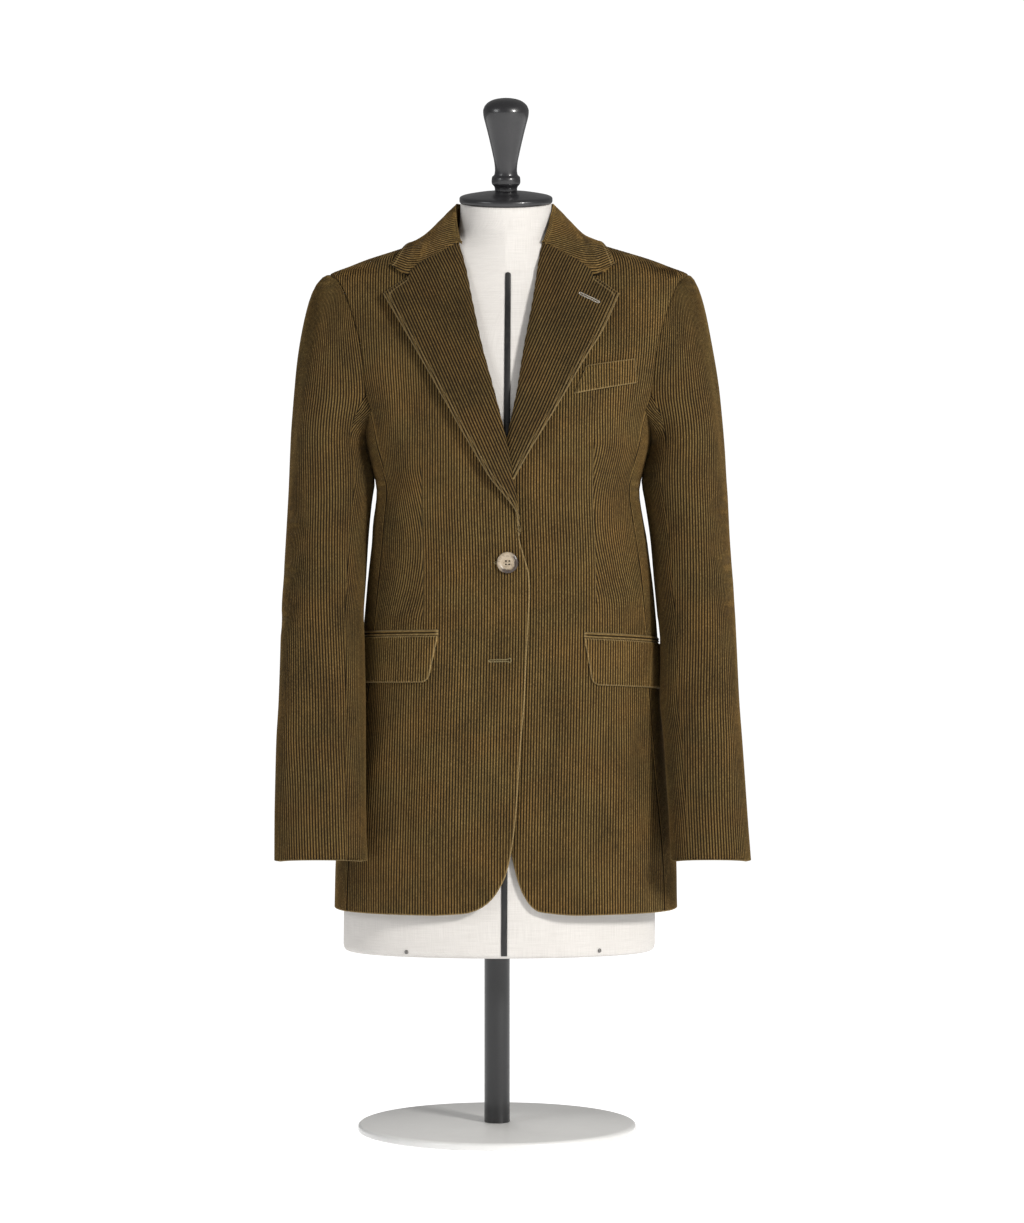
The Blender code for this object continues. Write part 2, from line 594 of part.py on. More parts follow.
def make_form_torso():
    """Level rings of unlike shape, joined one to the next and closed at both ends."""
    torso = bmesh.new()
    around = np.arange(FORM_SIDES) * 2 * pi / FORM_SIDES
    rings = [[torso.verts.new(point) for point in form_point(around, 0 * around + level) * MM]
             for level in FORM_LEVELS]
    for low, high in zip(rings, rings[1:]):
        for index in range(FORM_SIDES):
            beside = (index + 1) % FORM_SIDES
            torso.faces.new((low[index], low[beside], high[beside], high[index]))
    torso.faces.new(rings[0][::-1])
    torso.faces.new(rings[-1])
    add_object("form_torso", torso, linen())


def make_front_strip():
    """A flat dark tape down the middle of the form's front."""
    low = FORM_BOTTOM + 3
    levels = spread([low] + [level for level in FORM_LEVELS if low < level < STRIP_TOP] + [STRIP_TOP])

    def place(u, v):
        height = levels(v)
        middle = STRIP_LOW_X + (STRIP_TOP_X - STRIP_LOW_X) * (height - low) / (STRIP_TOP - low)
        across = (middle + (u - 0.5) * STRIP_WIDTH) / smooth(FORM, "half_width", height)
        angle = np.arcsin(np.clip(across, 0, 1) ** (smooth(FORM, "squareness", height) / 2))
        return form_point(angle, height, REST_GAP + 1.0)

    cloth("front_strip", 1, 21, place, False, black_lacquer(), 0.8)


def place_on_neck(piece, lift):
    """Stands a turned piece on the sloping top of the neck."""
    piece.rotation_euler = (NECK_TILT, 0, 0)
    piece.location = (FORM_TOP_X * MM, -np.sin(NECK_TILT) * lift * MM,
                      (NECK_TOP + np.cos(NECK_TILT) * lift) * MM)


def make_neck_cap():
    profile = ((0, 13), (12, 12.6), (30, 10.6), (44, 8), (49, 6.6), (50.3, 5), (50.3, 1.5), (49, 0), (0, 0))
    place_on_neck(turned_piece("neck_cap", profile, 36, black_lacquer()), REST_GAP)


def make_knob():
    profile = ((0, 99), (8, 98.4), (15, 96.6), (20, 93.6), (23.4, 89.4), (24.6, 85), (24.4, 81), (22, 71),
               (19.2, 60), (16.6, 49), (14.4, 39), (12.6, 30), (11.9, 22), (12.6, 17), (15, 14.6),
               (15.6, 11), (15, 7), (12.4, 4), (12, 0), (0, 0))
    place_on_neck(turned_piece("knob", profile, 24, black_lacquer()), 2 * REST_GAP + 13)


def make_pole():
    low, high = BASE_HEIGHT + REST_GAP, FORM_BOTTOM - REST_GAP
    profile = ((0, high), (POLE_RADIUS, high), (POLE_RADIUS, low), (0, low))
    pole = turned_piece("pole", profile, 24, black_lacquer())
    pole.location.x = POLE_X * MM


def make_base():
    profile = ((0, BASE_HEIGHT), (BASE_RADIUS - 4, BASE_HEIGHT), (BASE_RADIUS - 1, BASE_HEIGHT - 1),
               (BASE_RADIUS, BASE_HEIGHT - 3.5), (BASE_RADIUS, 1), (BASE_RADIUS - 1, 0), (0, 0))
    base = turned_piece("base", profile, 48, pale_lacquer())
    base.location.x = POLE_X * MM


def main():
    for old in list(bpy.data.objects):
        bpy.data.objects.remove(old)
    bpy.context.scene.collection.children.link(bpy.data.collections.new(COLLECTION))
    make_front(RIGHT, RIGHT_FRONT_EDGE, "front_right")
    make_front(LEFT, LEFT_FRONT_EDGE, "front_left")
    make_lapel(RIGHT, RIGHT_LAPEL, "lapel_right")
    make_lapel(LEFT, LEFT_LAPEL, "lapel_left")
    for side, word in ((RIGHT, "right"), (LEFT, "left")):
        make_side_panel(side, "side_panel_" + word)
        make_back(side, "back_" + word)
        make_sleeve(side, word)
        make_flap(side, "flap_" + word)
        make_jet(side, "jet_" + word)
    make_collar()
    make_breast_welt()
    make_button("button_top", BUTTON_PROFILE, TOP_BUTTON, 1.2)
    make_button("button_lower", LOWER_PROFILE, LOWER_BUTTON, 0.8 - LAP_DEPTH)
    make_form_torso()
    make_front_strip()
    make_neck_cap()
    make_knob()
    make_pole()
    make_base()


main()
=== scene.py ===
"""
A single-breasted corduroy blazer on a limbless linen dress form with a turned knob.

Right and left are the wearer's, and the front faces -Y. Sizes are in millimetres until a mesh is made.
Those of the camera, the lamps and the floor are in metres.
"""
from math import cos, pi, radians, sin

import bpy
import numpy as np
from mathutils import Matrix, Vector
from mathutils.geometry import delaunay_2d_cdt


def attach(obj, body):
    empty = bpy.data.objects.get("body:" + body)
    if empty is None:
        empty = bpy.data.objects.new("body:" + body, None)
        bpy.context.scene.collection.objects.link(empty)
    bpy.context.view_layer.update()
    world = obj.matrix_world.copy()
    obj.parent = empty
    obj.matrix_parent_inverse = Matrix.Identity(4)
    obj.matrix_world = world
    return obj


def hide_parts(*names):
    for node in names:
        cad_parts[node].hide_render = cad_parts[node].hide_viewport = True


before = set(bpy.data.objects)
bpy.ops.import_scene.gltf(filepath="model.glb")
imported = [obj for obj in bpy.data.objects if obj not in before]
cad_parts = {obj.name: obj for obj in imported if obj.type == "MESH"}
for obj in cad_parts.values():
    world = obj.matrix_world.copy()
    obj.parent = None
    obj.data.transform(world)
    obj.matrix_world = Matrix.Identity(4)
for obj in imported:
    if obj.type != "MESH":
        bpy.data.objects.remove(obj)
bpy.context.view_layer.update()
MM = 0.001
RIGHT, LEFT = -1, 1
SIDES = ((RIGHT, "right"), (LEFT, "left"))

# ---- The view: a level camera in front, on a pale floor in soft studio light ----
# The lens and the distance were set until the outlines fell where the photograph shows them. The floor
# glows a little, so that it meets the white backdrop without a line.
camera = bpy.data.objects.new("camera", bpy.data.cameras.new("camera"))
camera.data.sensor_width = 36.0
camera.data.lens = 99.5
camera.data.clip_end = 50.0
camera.location = (-0.0009, -3.65, 0.559)
camera.rotation_euler = (pi / 2, 0, 0)
bpy.context.collection.objects.link(camera)
bpy.context.scene.camera = camera


def select_only(*pieces):
    """Selects these pieces and no others, and makes the first one active."""
    bpy.ops.object.select_all(action="DESELECT")
    for piece in pieces:
        piece.select_set(True)
    if pieces:
        bpy.context.view_layer.objects.active = pieces[0]


select_only()
bpy.ops.mesh.primitive_circle_add(vertices=96, radius=9.0, fill_type="NGON", location=(0, 0, -0.0004))
floor = bpy.context.object
floor.name = "floor"


def soft_light(name, place, aim, size, power, colour):
    """A large square lamp turned towards what it lights. Only the front ones show in the lacquer."""
    lamp = bpy.data.objects.new(name, bpy.data.lights.new(name, "AREA"))
    lamp.data.shape = "SQUARE"
    lamp.data.size = size
    lamp.data.energy = power
    lamp.data.color = colour
    lamp.visible_glossy = place[1] < 0
    lamp.location = place
    lamp.rotation_euler = (Vector(aim) - Vector(place)).to_track_quat("-Z", "Y").to_euler()
    bpy.context.collection.objects.link(lamp)


soft_light("key", (2.2, -2.6, 1.95), (0, 0, 0.58), 0.6, 112, (1.0, 0.985, 0.96))
soft_light("fill", (-2.5, -2.2, 1.9), (0, 0, 0.6), 1.2, 26, (0.98, 0.99, 1.0))
soft_light("back", (-0.8, 2.6, 2.2), (0, 0, 0.7), 1.6, 30, (1.0, 1.0, 1.0))
bpy.context.scene.view_settings.view_transform = "Standard"

# The backdrop is bright to the camera, and lights the room less than it shows.
world = bpy.data.worlds.new("studio")
world.use_nodes = True
studio = world.node_tree
lit = studio.nodes["Background"]
lit.inputs["Strength"].default_value = 0.2
seen = studio.nodes.new("ShaderNodeBackground")
seen.inputs["Strength"].default_value = 1.05
both = studio.nodes.new("ShaderNodeMixShader")
studio.links.new(studio.nodes.new("ShaderNodeLightPath").outputs["Is Camera Ray"], both.inputs[0])
for background, slot in ((lit, 1), (seen, 2)):
    background.inputs["Color"].default_value = (1, 1, 1, 1)
    studio.links.new(background.outputs[0], both.inputs[slot])
studio.links.new(both.outputs[0], studio.nodes["World Output"].inputs["Surface"])
bpy.context.scene.world = world


class Value:
    """A shader socket that takes part in sums: an expression on it adds its Math nodes."""

    def __init__(self, tree, socket):
        self.tree = tree
        self.socket = socket

    def node(self, kind, sockets=(), **settings):
        """Adds any node: its settings first, then its sockets as values or links. Gives the node."""
        made = self.tree.nodes.new(kind)
        for name, setting in settings.items():
            setattr(made, name, setting)
        for key, value in dict(sockets).items():
            if isinstance(value, Value):
                self.tree.links.new(value.socket, made.inputs[key])
            else:
                made.inputs[key].default_value = value
        return made

    def maths(self, operation, *others):
        made = self.node("ShaderNodeMath", dict(enumerate((self,) + others)), operation=operation)
        return Value(self.tree, made.outputs[0])

    def __add__(self, other):
        return self.maths("ADD", other)

    def __mul__(self, other):
        return self.maths("MULTIPLY", other)

    def __sub__(self, other):
        return self.maths("SUBTRACT", other)

    def __rsub__(self, other):
        return (self * -1.0).maths("ADD", other)

    def __truediv__(self, other):
        return self.maths("DIVIDE", other)

    def __pow__(self, other):
        return self.maths("POWER", other)

    __radd__ = __add__
    __rmul__ = __mul__

    def between(self, low, high):
        """0 below low, 1 above high and an S-curve between."""
        made = self.node("ShaderNodeMapRange", {"Value": self, "From Min": low, "From Max": high},
                         interpolation_type="SMOOTHSTEP")
        return Value(self.tree, made.outputs["Result"])

    def blend(self, first, second):
        """Mixes two colours by this value."""
        made = self.node("ShaderNodeMix", {0: self, 6: first, 7: second}, data_type="RGBA")
        return Value(self.tree, made.outputs[2])

    def noise(self, scale, detail, place):
        """Noise at a place, a vector whose axes are already stretched."""
        made = self.node("ShaderNodeTexNoise", {"Vector": place, "Scale": scale, "Detail": detail})
        return Value(self.tree, made.outputs["Fac"])


def new_material(name, roughness, **even):
    """A Principled material. Gives it, its shader and a first Value that adds nodes to it."""
    made = bpy.data.materials.new(name)
    made.use_nodes = True
    shader = made.node_tree.nodes["Principled BSDF"]
    shader.inputs["Roughness"].default_value = roughness
    for socket, value in even.items():
        shader.inputs[socket.replace("_", " ")].default_value = value
    return made, shader, Value(made.node_tree, None)


def feed(shader, value, socket):
    """Links a value to one of the shader's sockets."""
    value.tree.links.new(value.socket, shader.inputs[socket])


def bumped(shader, height, strength, distance):
    """Feeds the shader's normal from a height."""
    made = height.node("ShaderNodeBump", {"Height": height, "Strength": strength, "Distance": distance * MM})
    feed(shader, Value(height.tree, made.outputs["Normal"]), "Normal")


def object_place(start, scale):
    """Object coordinates in millimetres, divided by a size along each axis."""
    place = start.node("ShaderNodeTexCoord")
    made = start.node("ShaderNodeVectorMath", {0: Value(start.tree, place.outputs["Object"]),
                                               1: [1000.0 / size for size in scale]}, operation="MULTIPLY")
    return Value(start.tree, made.outputs[0])


def floor_paint():
    made, shader, start = new_material("pale_floor", 0.9)
    grain = start.noise(1.0, 2.0, object_place(start, (400, 400, 400)))
    feed(shader, grain.blend((0.3, 0.3, 0.3, 1), (0.33, 0.33, 0.33, 1)), "Base Color")
    feed(shader, grain.blend((0.98, 0.98, 0.98, 1), (1, 1, 1, 1)), "Emission Color")
    shader.inputs["Emission Strength"].default_value = 0.97
    return made


floor.data.materials.append(floor_paint())


# ---- The stand: a steel tube and a round plate, which the photograph cuts off ----
# The tube is black lacquer over steel. The plate is not seen, so it is plain steel painted pale. The tube
# stands on the plate and carries the form.
def lacquer(name, dark, light, roughness):
    """Sprayed lacquer: faint mottling, dust in its gloss and an orange-peel bump."""
    made, shader, start = new_material(name, roughness, Coat_Weight=0.5, Coat_Roughness=0.14)
    mottle = start.noise(1.0, 4.0, object_place(start, (22, 22, 22)))
    feed(shader, mottle.blend(dark, light), "Base Color")
    dust = start.noise(1.0, 6.0, object_place(start, (5, 5, 5)))
    feed(shader, dust * 0.18 + (roughness - 0.09), "Roughness")
    bumped(shader, start.noise(1.0, 2.0, object_place(start, (1.6, 1.6, 1.6))), 0.25, 0.06)
    return made


black_lacquer = lacquer("black_lacquer", (0.012, 0.012, 0.0135, 1), (0.024, 0.023, 0.025, 1), 0.36)
pale_lacquer = lacquer("pale_lacquer", (0.74, 0.735, 0.72, 1), (0.8, 0.795, 0.78, 1), 0.45)
POLE_X = -17.0


def turned(name, profile, steps, material):
    """A turned piece: a filled ring is extruded up and scaled, ring by ring, through (radius, height)."""
    select_only()
    radius, height = profile[0]
    bpy.ops.mesh.primitive_circle_add(vertices=steps, radius=radius * MM, fill_type="NGON",
                                      location=(0, 0, height * MM))
    piece = bpy.context.object
    piece.name = name
    bpy.ops.object.transform_apply()
    bpy.ops.object.mode_set(mode="EDIT")
    bpy.ops.mesh.select_all(action="SELECT")
    for new_radius, new_height in profile[1:]:
        rise = (0, 0, (new_height - height) * MM)
        bpy.ops.mesh.extrude_region_move(TRANSFORM_OT_translate={"value": rise})
        wider = new_radius / radius
        bpy.ops.transform.resize(value=(wider, wider, 1), center_override=(0, 0, new_height * MM))
        radius, height = new_radius, new_height
    bpy.ops.mesh.select_all(action="SELECT")
    bpy.ops.mesh.normals_make_consistent(inside=False)
    bpy.ops.object.mode_set(mode="OBJECT")
    piece.data.materials.append(material)
    bpy.ops.object.shade_smooth_by_angle(angle=radians(38))
    return piece


def put(piece, place, turn=(0, 0, 0)):
    """Turns a piece, moves it to its place and leaves both in its mesh."""
    piece.rotation_euler = turn
    piece.location = Vector(place) * MM
    select_only(piece)
    bpy.ops.object.transform_apply(location=True, rotation=True, scale=True)


def hand_over(piece, slot, *nodes):
    """The piece rides on the one body and stands for its nodes, which are hidden. Its slot is not used."""
    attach(piece, "root")
    if nodes:
        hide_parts(*nodes)


base = turned("base_plate", ((149, 0), (150, 1), (150, 4.5), (149.5, 6.2), (148, 7.4), (146, 8), (20, 8)),
              128, pale_lacquer)
put(base, (POLE_X, 0, 0))
hand_over(base, "pale_metal", "base")
tube_lacquer = lacquer("tube_lacquer", (0.004, 0.004, 0.005, 1), (0.009, 0.009, 0.010, 1), 0.45)
pole = turned("pole_tube", ((13.3, 8.2), (13.8, 8.7), (13.8, 100), (13.8, 193.6)), 64, tube_lacquer)
put(pole, (POLE_X, 0, 0))
hand_over(pole, "black_metal", "pole")


# ---- The torso: padded, covered in off-white linen and sewn along its panels ----
# Its rings are level ovals. The neck tilts forward at its top, and the hem's edge is rounded under.
# The cover's seams sink in: one round the neck's foot, four down the panels, one down the back.
def table(names, *rows):
    """A table with named columns and one row for each section. The first column is the key."""
    return dict(zip(names.split(), np.array(rows, dtype=float).T))


def smooth(section, name, at):
    """A column's value between the rows, on a curve that never overshoots them."""
    keys = next(iter(section.values()))
    values = section[name]
    steps = np.diff(keys)
    slopes = np.diff(values) / steps
    product = slopes[:-1] * slopes[1:]
    total = np.where(product > 0, slopes[:-1] + slopes[1:], 1.0)
    leans = np.concatenate(([slopes[0]], np.where(product > 0, 2 * product / total, 0.0), [slopes[-1]]))
    at = np.clip(at, keys[0], keys[-1])
    row = np.clip(np.searchsorted(keys, at, side="right") - 1, 0, len(steps) - 1)
    t = (at - keys[row]) / steps[row]
    rise = values[row] * (1 + 2 * t) * (1 - t) ** 2 + values[row + 1] * (3 - 2 * t) * t ** 2
    lean = leans[row] * t * (1 - t) ** 2 - leans[row + 1] * (1 - t) * t ** 2
    return rise + lean * steps[row]


def ease(value, start, end):
    """0 up to start, 1 from end on, and an S-curve between."""
    t = np.clip((value - start) / (end - start), 0, 1)
    return t * t * (3 - 2 * t)


FORM = table(
    "height half_width front back squareness",
    (194, 163, 97, 103, 2.1), (195, 165.5, 99.5, 105.5, 2.1), (197.5, 167.3, 101.3, 107.3, 2.1),
    (201, 168, 102, 108, 2.1), (240, 168, 102, 110, 2.1),
    (350, 163, 102, 112, 2.15), (464, 149, 101, 110, 2.15), (557, 141, 96, 96, 2.1),
    (624, 133, 93, 82, 2.1), (690, 128, 93, 75, 2.1), (736, 136, 100, 81, 2.1),
    (758, 140, 102, 85, 2.1), (788, 146, 101, 91, 2.1), (812, 150, 96, 95, 2.1),
    (838, 155, 87, 97, 2.05), (868, 159, 75, 96, 2), (895, 161, 64, 87, 1.9), (915, 160, 59.5, 77, 1.6),
    (928, 156, 57.5, 66, 1.4), (934, 146, 57, 62, 1.35), (940, 126, 56.5, 59, 1.35),
    (946.5, 104, 55.5, 56, 1.4), (954, 78, 54, 53, 1.5), (961, 58, 52.5, 51, 1.75),
    (970, 51, 51, 50, 1.95), (985, 49.5, 49.5, 49.5, 2), (1000, 49, 49, 49, 2))
FORM_BOTTOM, NECK_TOP = 194.0, 1000.0
FORM_LOW_X, FORM_TOP_X = -14.8, -7.4
NECK_TILT = radians(13)
NECK_SEAM, NECK_DIP = 921.0, 7.5     # the seam round the neck's foot dips in front
DIP_REACH, DIP_MOST = 40.0, 1.6      # it is up by the dip this far aside, and level from so many times as far
PANEL_SEAM = radians(38)             # the seams down the front and back panels
SEAM_WIDTH, SEAM_DEPTH, NECK_SEAM_DEPTH = 1.3, 0.7, 0.8


def form_lean(height):
    """Where the form's middle stands at a height, as it leans a little aside."""
    return FORM_LOW_X + (FORM_TOP_X - FORM_LOW_X) * (height - FORM_BOTTOM) / (NECK_TOP - FORM_BOTTOM)


def form_point(angle, height, out=0.0):
    """Point of the form's cover, or out of it. The angle is 0 in front."""
    power = 2 / smooth(FORM, "squareness", height)
    side, facing = np.sin(angle), np.cos(angle)
    x = (smooth(FORM, "half_width", height) + out) * np.sign(side) * np.abs(side) ** power
    depth = np.where(facing > 0, -smooth(FORM, "front", height) - out, smooth(FORM, "back", height) + out)
    y = depth * np.abs(facing) ** power
    tilt = np.tan(NECK_TILT) * ease(height, 961, NECK_TOP)
    return np.stack((form_lean(height) + x, y, height + tilt * y), axis=-1)


def groove(distance, width, depth):
    """How far a sewn seam pulls the face in, at a distance from it."""
    return -depth * np.exp(-(distance / width) ** 2)


def make_mesh(name, points, faces, materials, kinds=None, uv=None, flat_edges=70):
    """One object from points in millimetres, faces, each face's material and each point's UV."""
    mesh = bpy.data.meshes.new(name)
    mesh.from_pydata(np.asarray(points) * MM, [], faces)
    for material in materials:
        mesh.materials.append(material)
    if kinds is not None:
        mesh.polygons.foreach_set("material_index", kinds)
    if uv is not None:
        corners = np.empty(len(mesh.loops), dtype=np.int32)
        mesh.loops.foreach_get("vertex_index", corners)
        mesh.uv_layers.new(name="cloth").data.foreach_set("uv", uv[corners].astype(np.float32).ravel())
    mesh.shade_smooth()
    mesh.set_sharp_from_angle(angle=radians(flat_edges))
    piece = bpy.data.objects.new(name, mesh)
    bpy.context.collection.objects.link(piece)
    return piece


def linen():
    """Plain-woven linen: crossing threads of uneven thickness, in faint light and dark patches."""
    made, shader, start = new_material("off_white_linen", 0.9, Sheen_Weight=0.15, Sheen_Roughness=0.6)
    uv = Value(start.tree, start.node("ShaderNodeUVMap", uv_map="cloth").outputs["UV"])
    apart = start.node("ShaderNodeSeparateXYZ", {"Vector": uv})
    across, along = (Value(start.tree, apart.outputs[axis]) for axis in "XY")

    def threads(place, other, pitch):
        stretched = start.node("ShaderNodeCombineXYZ", {"X": place / 0.7, "Y": other / 26.0})
        uneven = start.noise(1.0, 3.0, Value(start.tree, stretched.outputs[0]))
        ridge = (place * (2 * pi / pitch)).maths("SINE") * 0.5 + 0.5
        return ridge * 0.45 + uneven * 0.9

    warp = threads(across, along, 0.85)
    weft = threads(along, across, 0.95)
    weave = warp * 0.5 + weft * 0.5
    patches = start.noise(1.0, 3.0, object_place(start, (70, 70, 90)))
    tone = weave.between(0.3, 1.0) * 0.75 + patches * 0.25
    feed(shader, tone.blend((0.51, 0.482, 0.45, 1), (0.79, 0.76, 0.725, 1)), "Base Color")
    bumped(shader, weave, 0.5, 0.35)
    return made


def make_torso():
    """A grid of points round and up the form, closed in front and filled at both ends."""
    columns = 192
    heights = np.concatenate(([194, 194.5, 195.3, 196.4, 198, 201], np.arange(208, 915, 7.0),
                              np.arange(917, 1001, 2.0)))
    heights[-1] = NECK_TOP
    turn, level = np.meshgrid(np.arange(columns + 1) * 2 * pi / columns, heights)
    points = form_point(turn, level)
    steps = np.linalg.norm(np.diff(points, axis=1), axis=2)
    around = np.concatenate((np.zeros((len(heights), 1)), np.cumsum(steps, axis=1)), axis=1)
    folded = np.abs((turn + pi / 2) % pi - pi / 2)
    half_width = smooth(FORM, "half_width", level)
    pull = groove(np.abs(folded - PANEL_SEAM) * half_width, SEAM_WIDTH, SEAM_DEPTH) * (level < NECK_SEAM)
    pull += groove(np.abs(turn - pi) * half_width, SEAM_WIDTH, SEAM_DEPTH)
    aside = np.abs(points[..., 0] - FORM_TOP_X)
    seam_level = NECK_SEAM + NECK_DIP * np.minimum(aside / DIP_REACH, DIP_MOST) ** 2
    pull += groove(level - seam_level, SEAM_WIDTH, NECK_SEAM_DEPTH)
    points = form_point(turn, level, pull)
    count = columns + 1
    faces = [(start, start + 1, start + count + 1, start + count)
             for row in range(len(heights) - 1) for start in range(row * count, row * count + columns)]
    flat = points.reshape(-1, 3)
    cloth = np.stack((around.ravel(), level.ravel()), axis=-1)
    torso = make_mesh("torso", flat, faces, [linen()], uv=cloth, flat_edges=60)
    select_only(torso)
    bpy.ops.object.mode_set(mode="EDIT")
    bpy.ops.mesh.select_all(action="SELECT")
    bpy.ops.mesh.remove_doubles(threshold=0.00002)
    bpy.ops.mesh.select_all(action="DESELECT")
    bpy.ops.mesh.select_non_manifold()
    bpy.ops.mesh.edge_face_add()
    bpy.ops.object.mode_set(mode="OBJECT")
    return torso


torso = make_torso()
hand_over(torso, "linen", "form_torso")


# The strip down the middle of the front is a stiff woven tape with a rounded top.
STRIP_WIDTH, STRIP_THICK = 6.4, 0.8
STRIP_LOW, STRIP_TOP = 197.0, 919.6
STRIP_LOW_X, STRIP_TOP_X = 5.5, 2.9
STRIP_OUT, STRIP_IN = 0.3, 0.1       # from the cover to the tape's edge and to its back
STRIP_ARCH = 0.35                    # share of its thickness that its edges lose


def tape_paint():
    """Black tape: fine crossing ribs, a little lint and a dull shine."""
    made, shader, start = new_material("black_tape", 0.45, Coat_Weight=0.1)
    lint = start.noise(1.0, 5.0, object_place(start, (3, 3, 14)))
    tone = lint.between(0.35, 0.8).blend((0.006, 0.006, 0.0065, 1), (0.022, 0.02, 0.019, 1))
    feed(shader, tone, "Base Color")
    bumped(shader, start.noise(1.0, 2.0, object_place(start, (3, 3, 0.9))), 0.4, 0.2)
    return made


def make_strip():
    """Rows of points across an arched section, narrowing at the top, over a flat back."""
    rounded = STRIP_TOP - STRIP_WIDTH / 2 * np.cos(np.linspace(0, pi / 2, 9))
    levels = np.concatenate((np.arange(STRIP_LOW, 905, 6.0), rounded))
    share = np.linspace(-1, 1, 7)
    rest = np.clip((STRIP_TOP - levels) / (STRIP_WIDTH / 2), 0, 1)
    half = STRIP_WIDTH / 2 * np.sqrt(1 - (1 - rest) ** 2)
    half[-1] = 0.3      # the rounded top still has a width
    middle = STRIP_LOW_X + (STRIP_TOP_X - STRIP_LOW_X) * (levels - STRIP_LOW) / (STRIP_TOP - STRIP_LOW)
    across = middle[:, None] + half[:, None] * share
    height = levels[:, None] + 0 * across
    angle = np.arcsin(np.clip(across / smooth(FORM, "half_width", height), 0, 1)
                      ** (smooth(FORM, "squareness", height) / 2))
    arch = STRIP_THICK * (1 - STRIP_ARCH * share ** 4)
    outer = form_point(angle, height, STRIP_OUT + arch)
    inner = form_point(angle, height, STRIP_IN + 0 * height)
    rows, columns = across.shape
    ring = np.concatenate((outer, inner[:, ::-1]), axis=1)
    count = ring.shape[1]
    faces = [(row * count + index, row * count + (index + 1) % count,
              (row + 1) * count + (index + 1) % count, (row + 1) * count + index)
             for row in range(rows - 1) for index in range(count)]
    faces += [tuple(range(count))[::-1], tuple((rows - 1) * count + index for index in range(count))]
    return make_mesh("front_strip_tape", ring.reshape(-1, 3), faces, [tape_paint()], flat_edges=50)


strip = make_strip()
hand_over(strip, "black", "front_strip")

# Two small round-headed nails hold the cover at the hem, one each side of the front.
NAILS = ((-112.4, 199.8), (91.6, 200.9))
NAIL_HEAD = ((2.3, 0), (2.3, 0.3), (2.0, 0.8), (1.4, 1.2), (0.7, 1.4), (0.2, 1.45))
HEM_SQUARENESS = 2.1
nail_steel = lacquer("nail_steel", (0.09, 0.085, 0.08, 1), (0.16, 0.15, 0.14, 1), 0.35)
for number, (x, height) in enumerate(NAILS):
    reach = (x - form_lean(height)) / smooth(FORM, "half_width", np.array([height]))[0]
    angle = np.sign(reach) * np.arcsin(abs(reach) ** (HEM_SQUARENESS / 2))
    nail = turned("form_nail_" + str(number + 1), NAIL_HEAD, 24, nail_steel)
    put(nail, form_point(np.array([angle]), np.array([height]), -0.2)[0], (pi / 2, 0, angle))
    hand_over(nail, "black_metal")


# ---- The neck: a lacquered wooden cap and a turned knob, tilted with the neck's top ----
# Both are turned in wood and sprayed black. The cap is a shallow dome that covers the neck's end, and the
# knob is a grip that widens upwards from a ring at its foot.
CAP_LIFT, CAP_HEIGHT = 0.3, 13.0
KNOB = table(
    "height radius",
    (0, 12), (2, 12.1), (4, 12.6), (7, 15), (9, 15.6), (12, 15.5), (14.6, 15), (17, 12.6),
    (22, 11.9), (30, 12.6), (39, 14.4), (49, 16.6), (60, 19.2), (71, 22), (77, 23.6), (81, 24.4),
    (85, 24.6), (89.4, 23.4), (93.6, 20),
    (96.6, 15), (98.4, 8), (99, 2))


def on_neck(piece, lift):
    """Stands a turned piece on the sloping top of the neck."""
    put(piece, (FORM_TOP_X, -sin(NECK_TILT) * lift, NECK_TOP + cos(NECK_TILT) * lift), (NECK_TILT, 0, 0))


CAP_DISC = ((49, 0), (49.9, 0.7), (50.3, 1.8), (50.3, 4.6), (50, 5.6), (49.2, 6.5), (47, 7.4), (44, 8.1),
            (37, 9.4), (30, 10.6), (21, 11.7), (12, 12.6), (6, 12.9))
cap = turned("neck_cap_disc", CAP_DISC, 128, black_lacquer)
on_neck(cap, CAP_LIFT)
hand_over(cap, "black", "neck_cap")
knob_heights = np.concatenate((np.arange(0, 18, 1.0), np.arange(18, 84, 3.0), np.arange(84, 96, 1.2),
                               (96.2, 97.2, 98, 98.6, 98.9, 99)))
knob = turned("neck_knob", [(smooth(KNOB, "radius", h), h) for h in knob_heights], 96, black_lacquer)
on_neck(knob, CAP_LIFT * 2 + CAP_HEIGHT)
hand_over(knob, "black", "knob")


# ---- The jacket: corduroy cut in flat pieces, each bent to its place on the wearer's shape ----
# A piece is drawn in its own cloth's plane: a runs across the wales and b along them. The mesh follows
# the wales, so each has a crest, two sides and a groove. A second skin inside makes the wall.
WALE = 3.0                 # from one wale to the next
WALE_HEIGHT = 0.8
WALL = 2.0
SEAM_GAP = 0.3
HEM, NECK = 240.0, 968.0
ARMHOLE_BOTTOM, ARMHOLE_SIDE, SHOULDER_TIP = 757.0, 773.0, 922.0
SIDE_SEAM = radians(64)

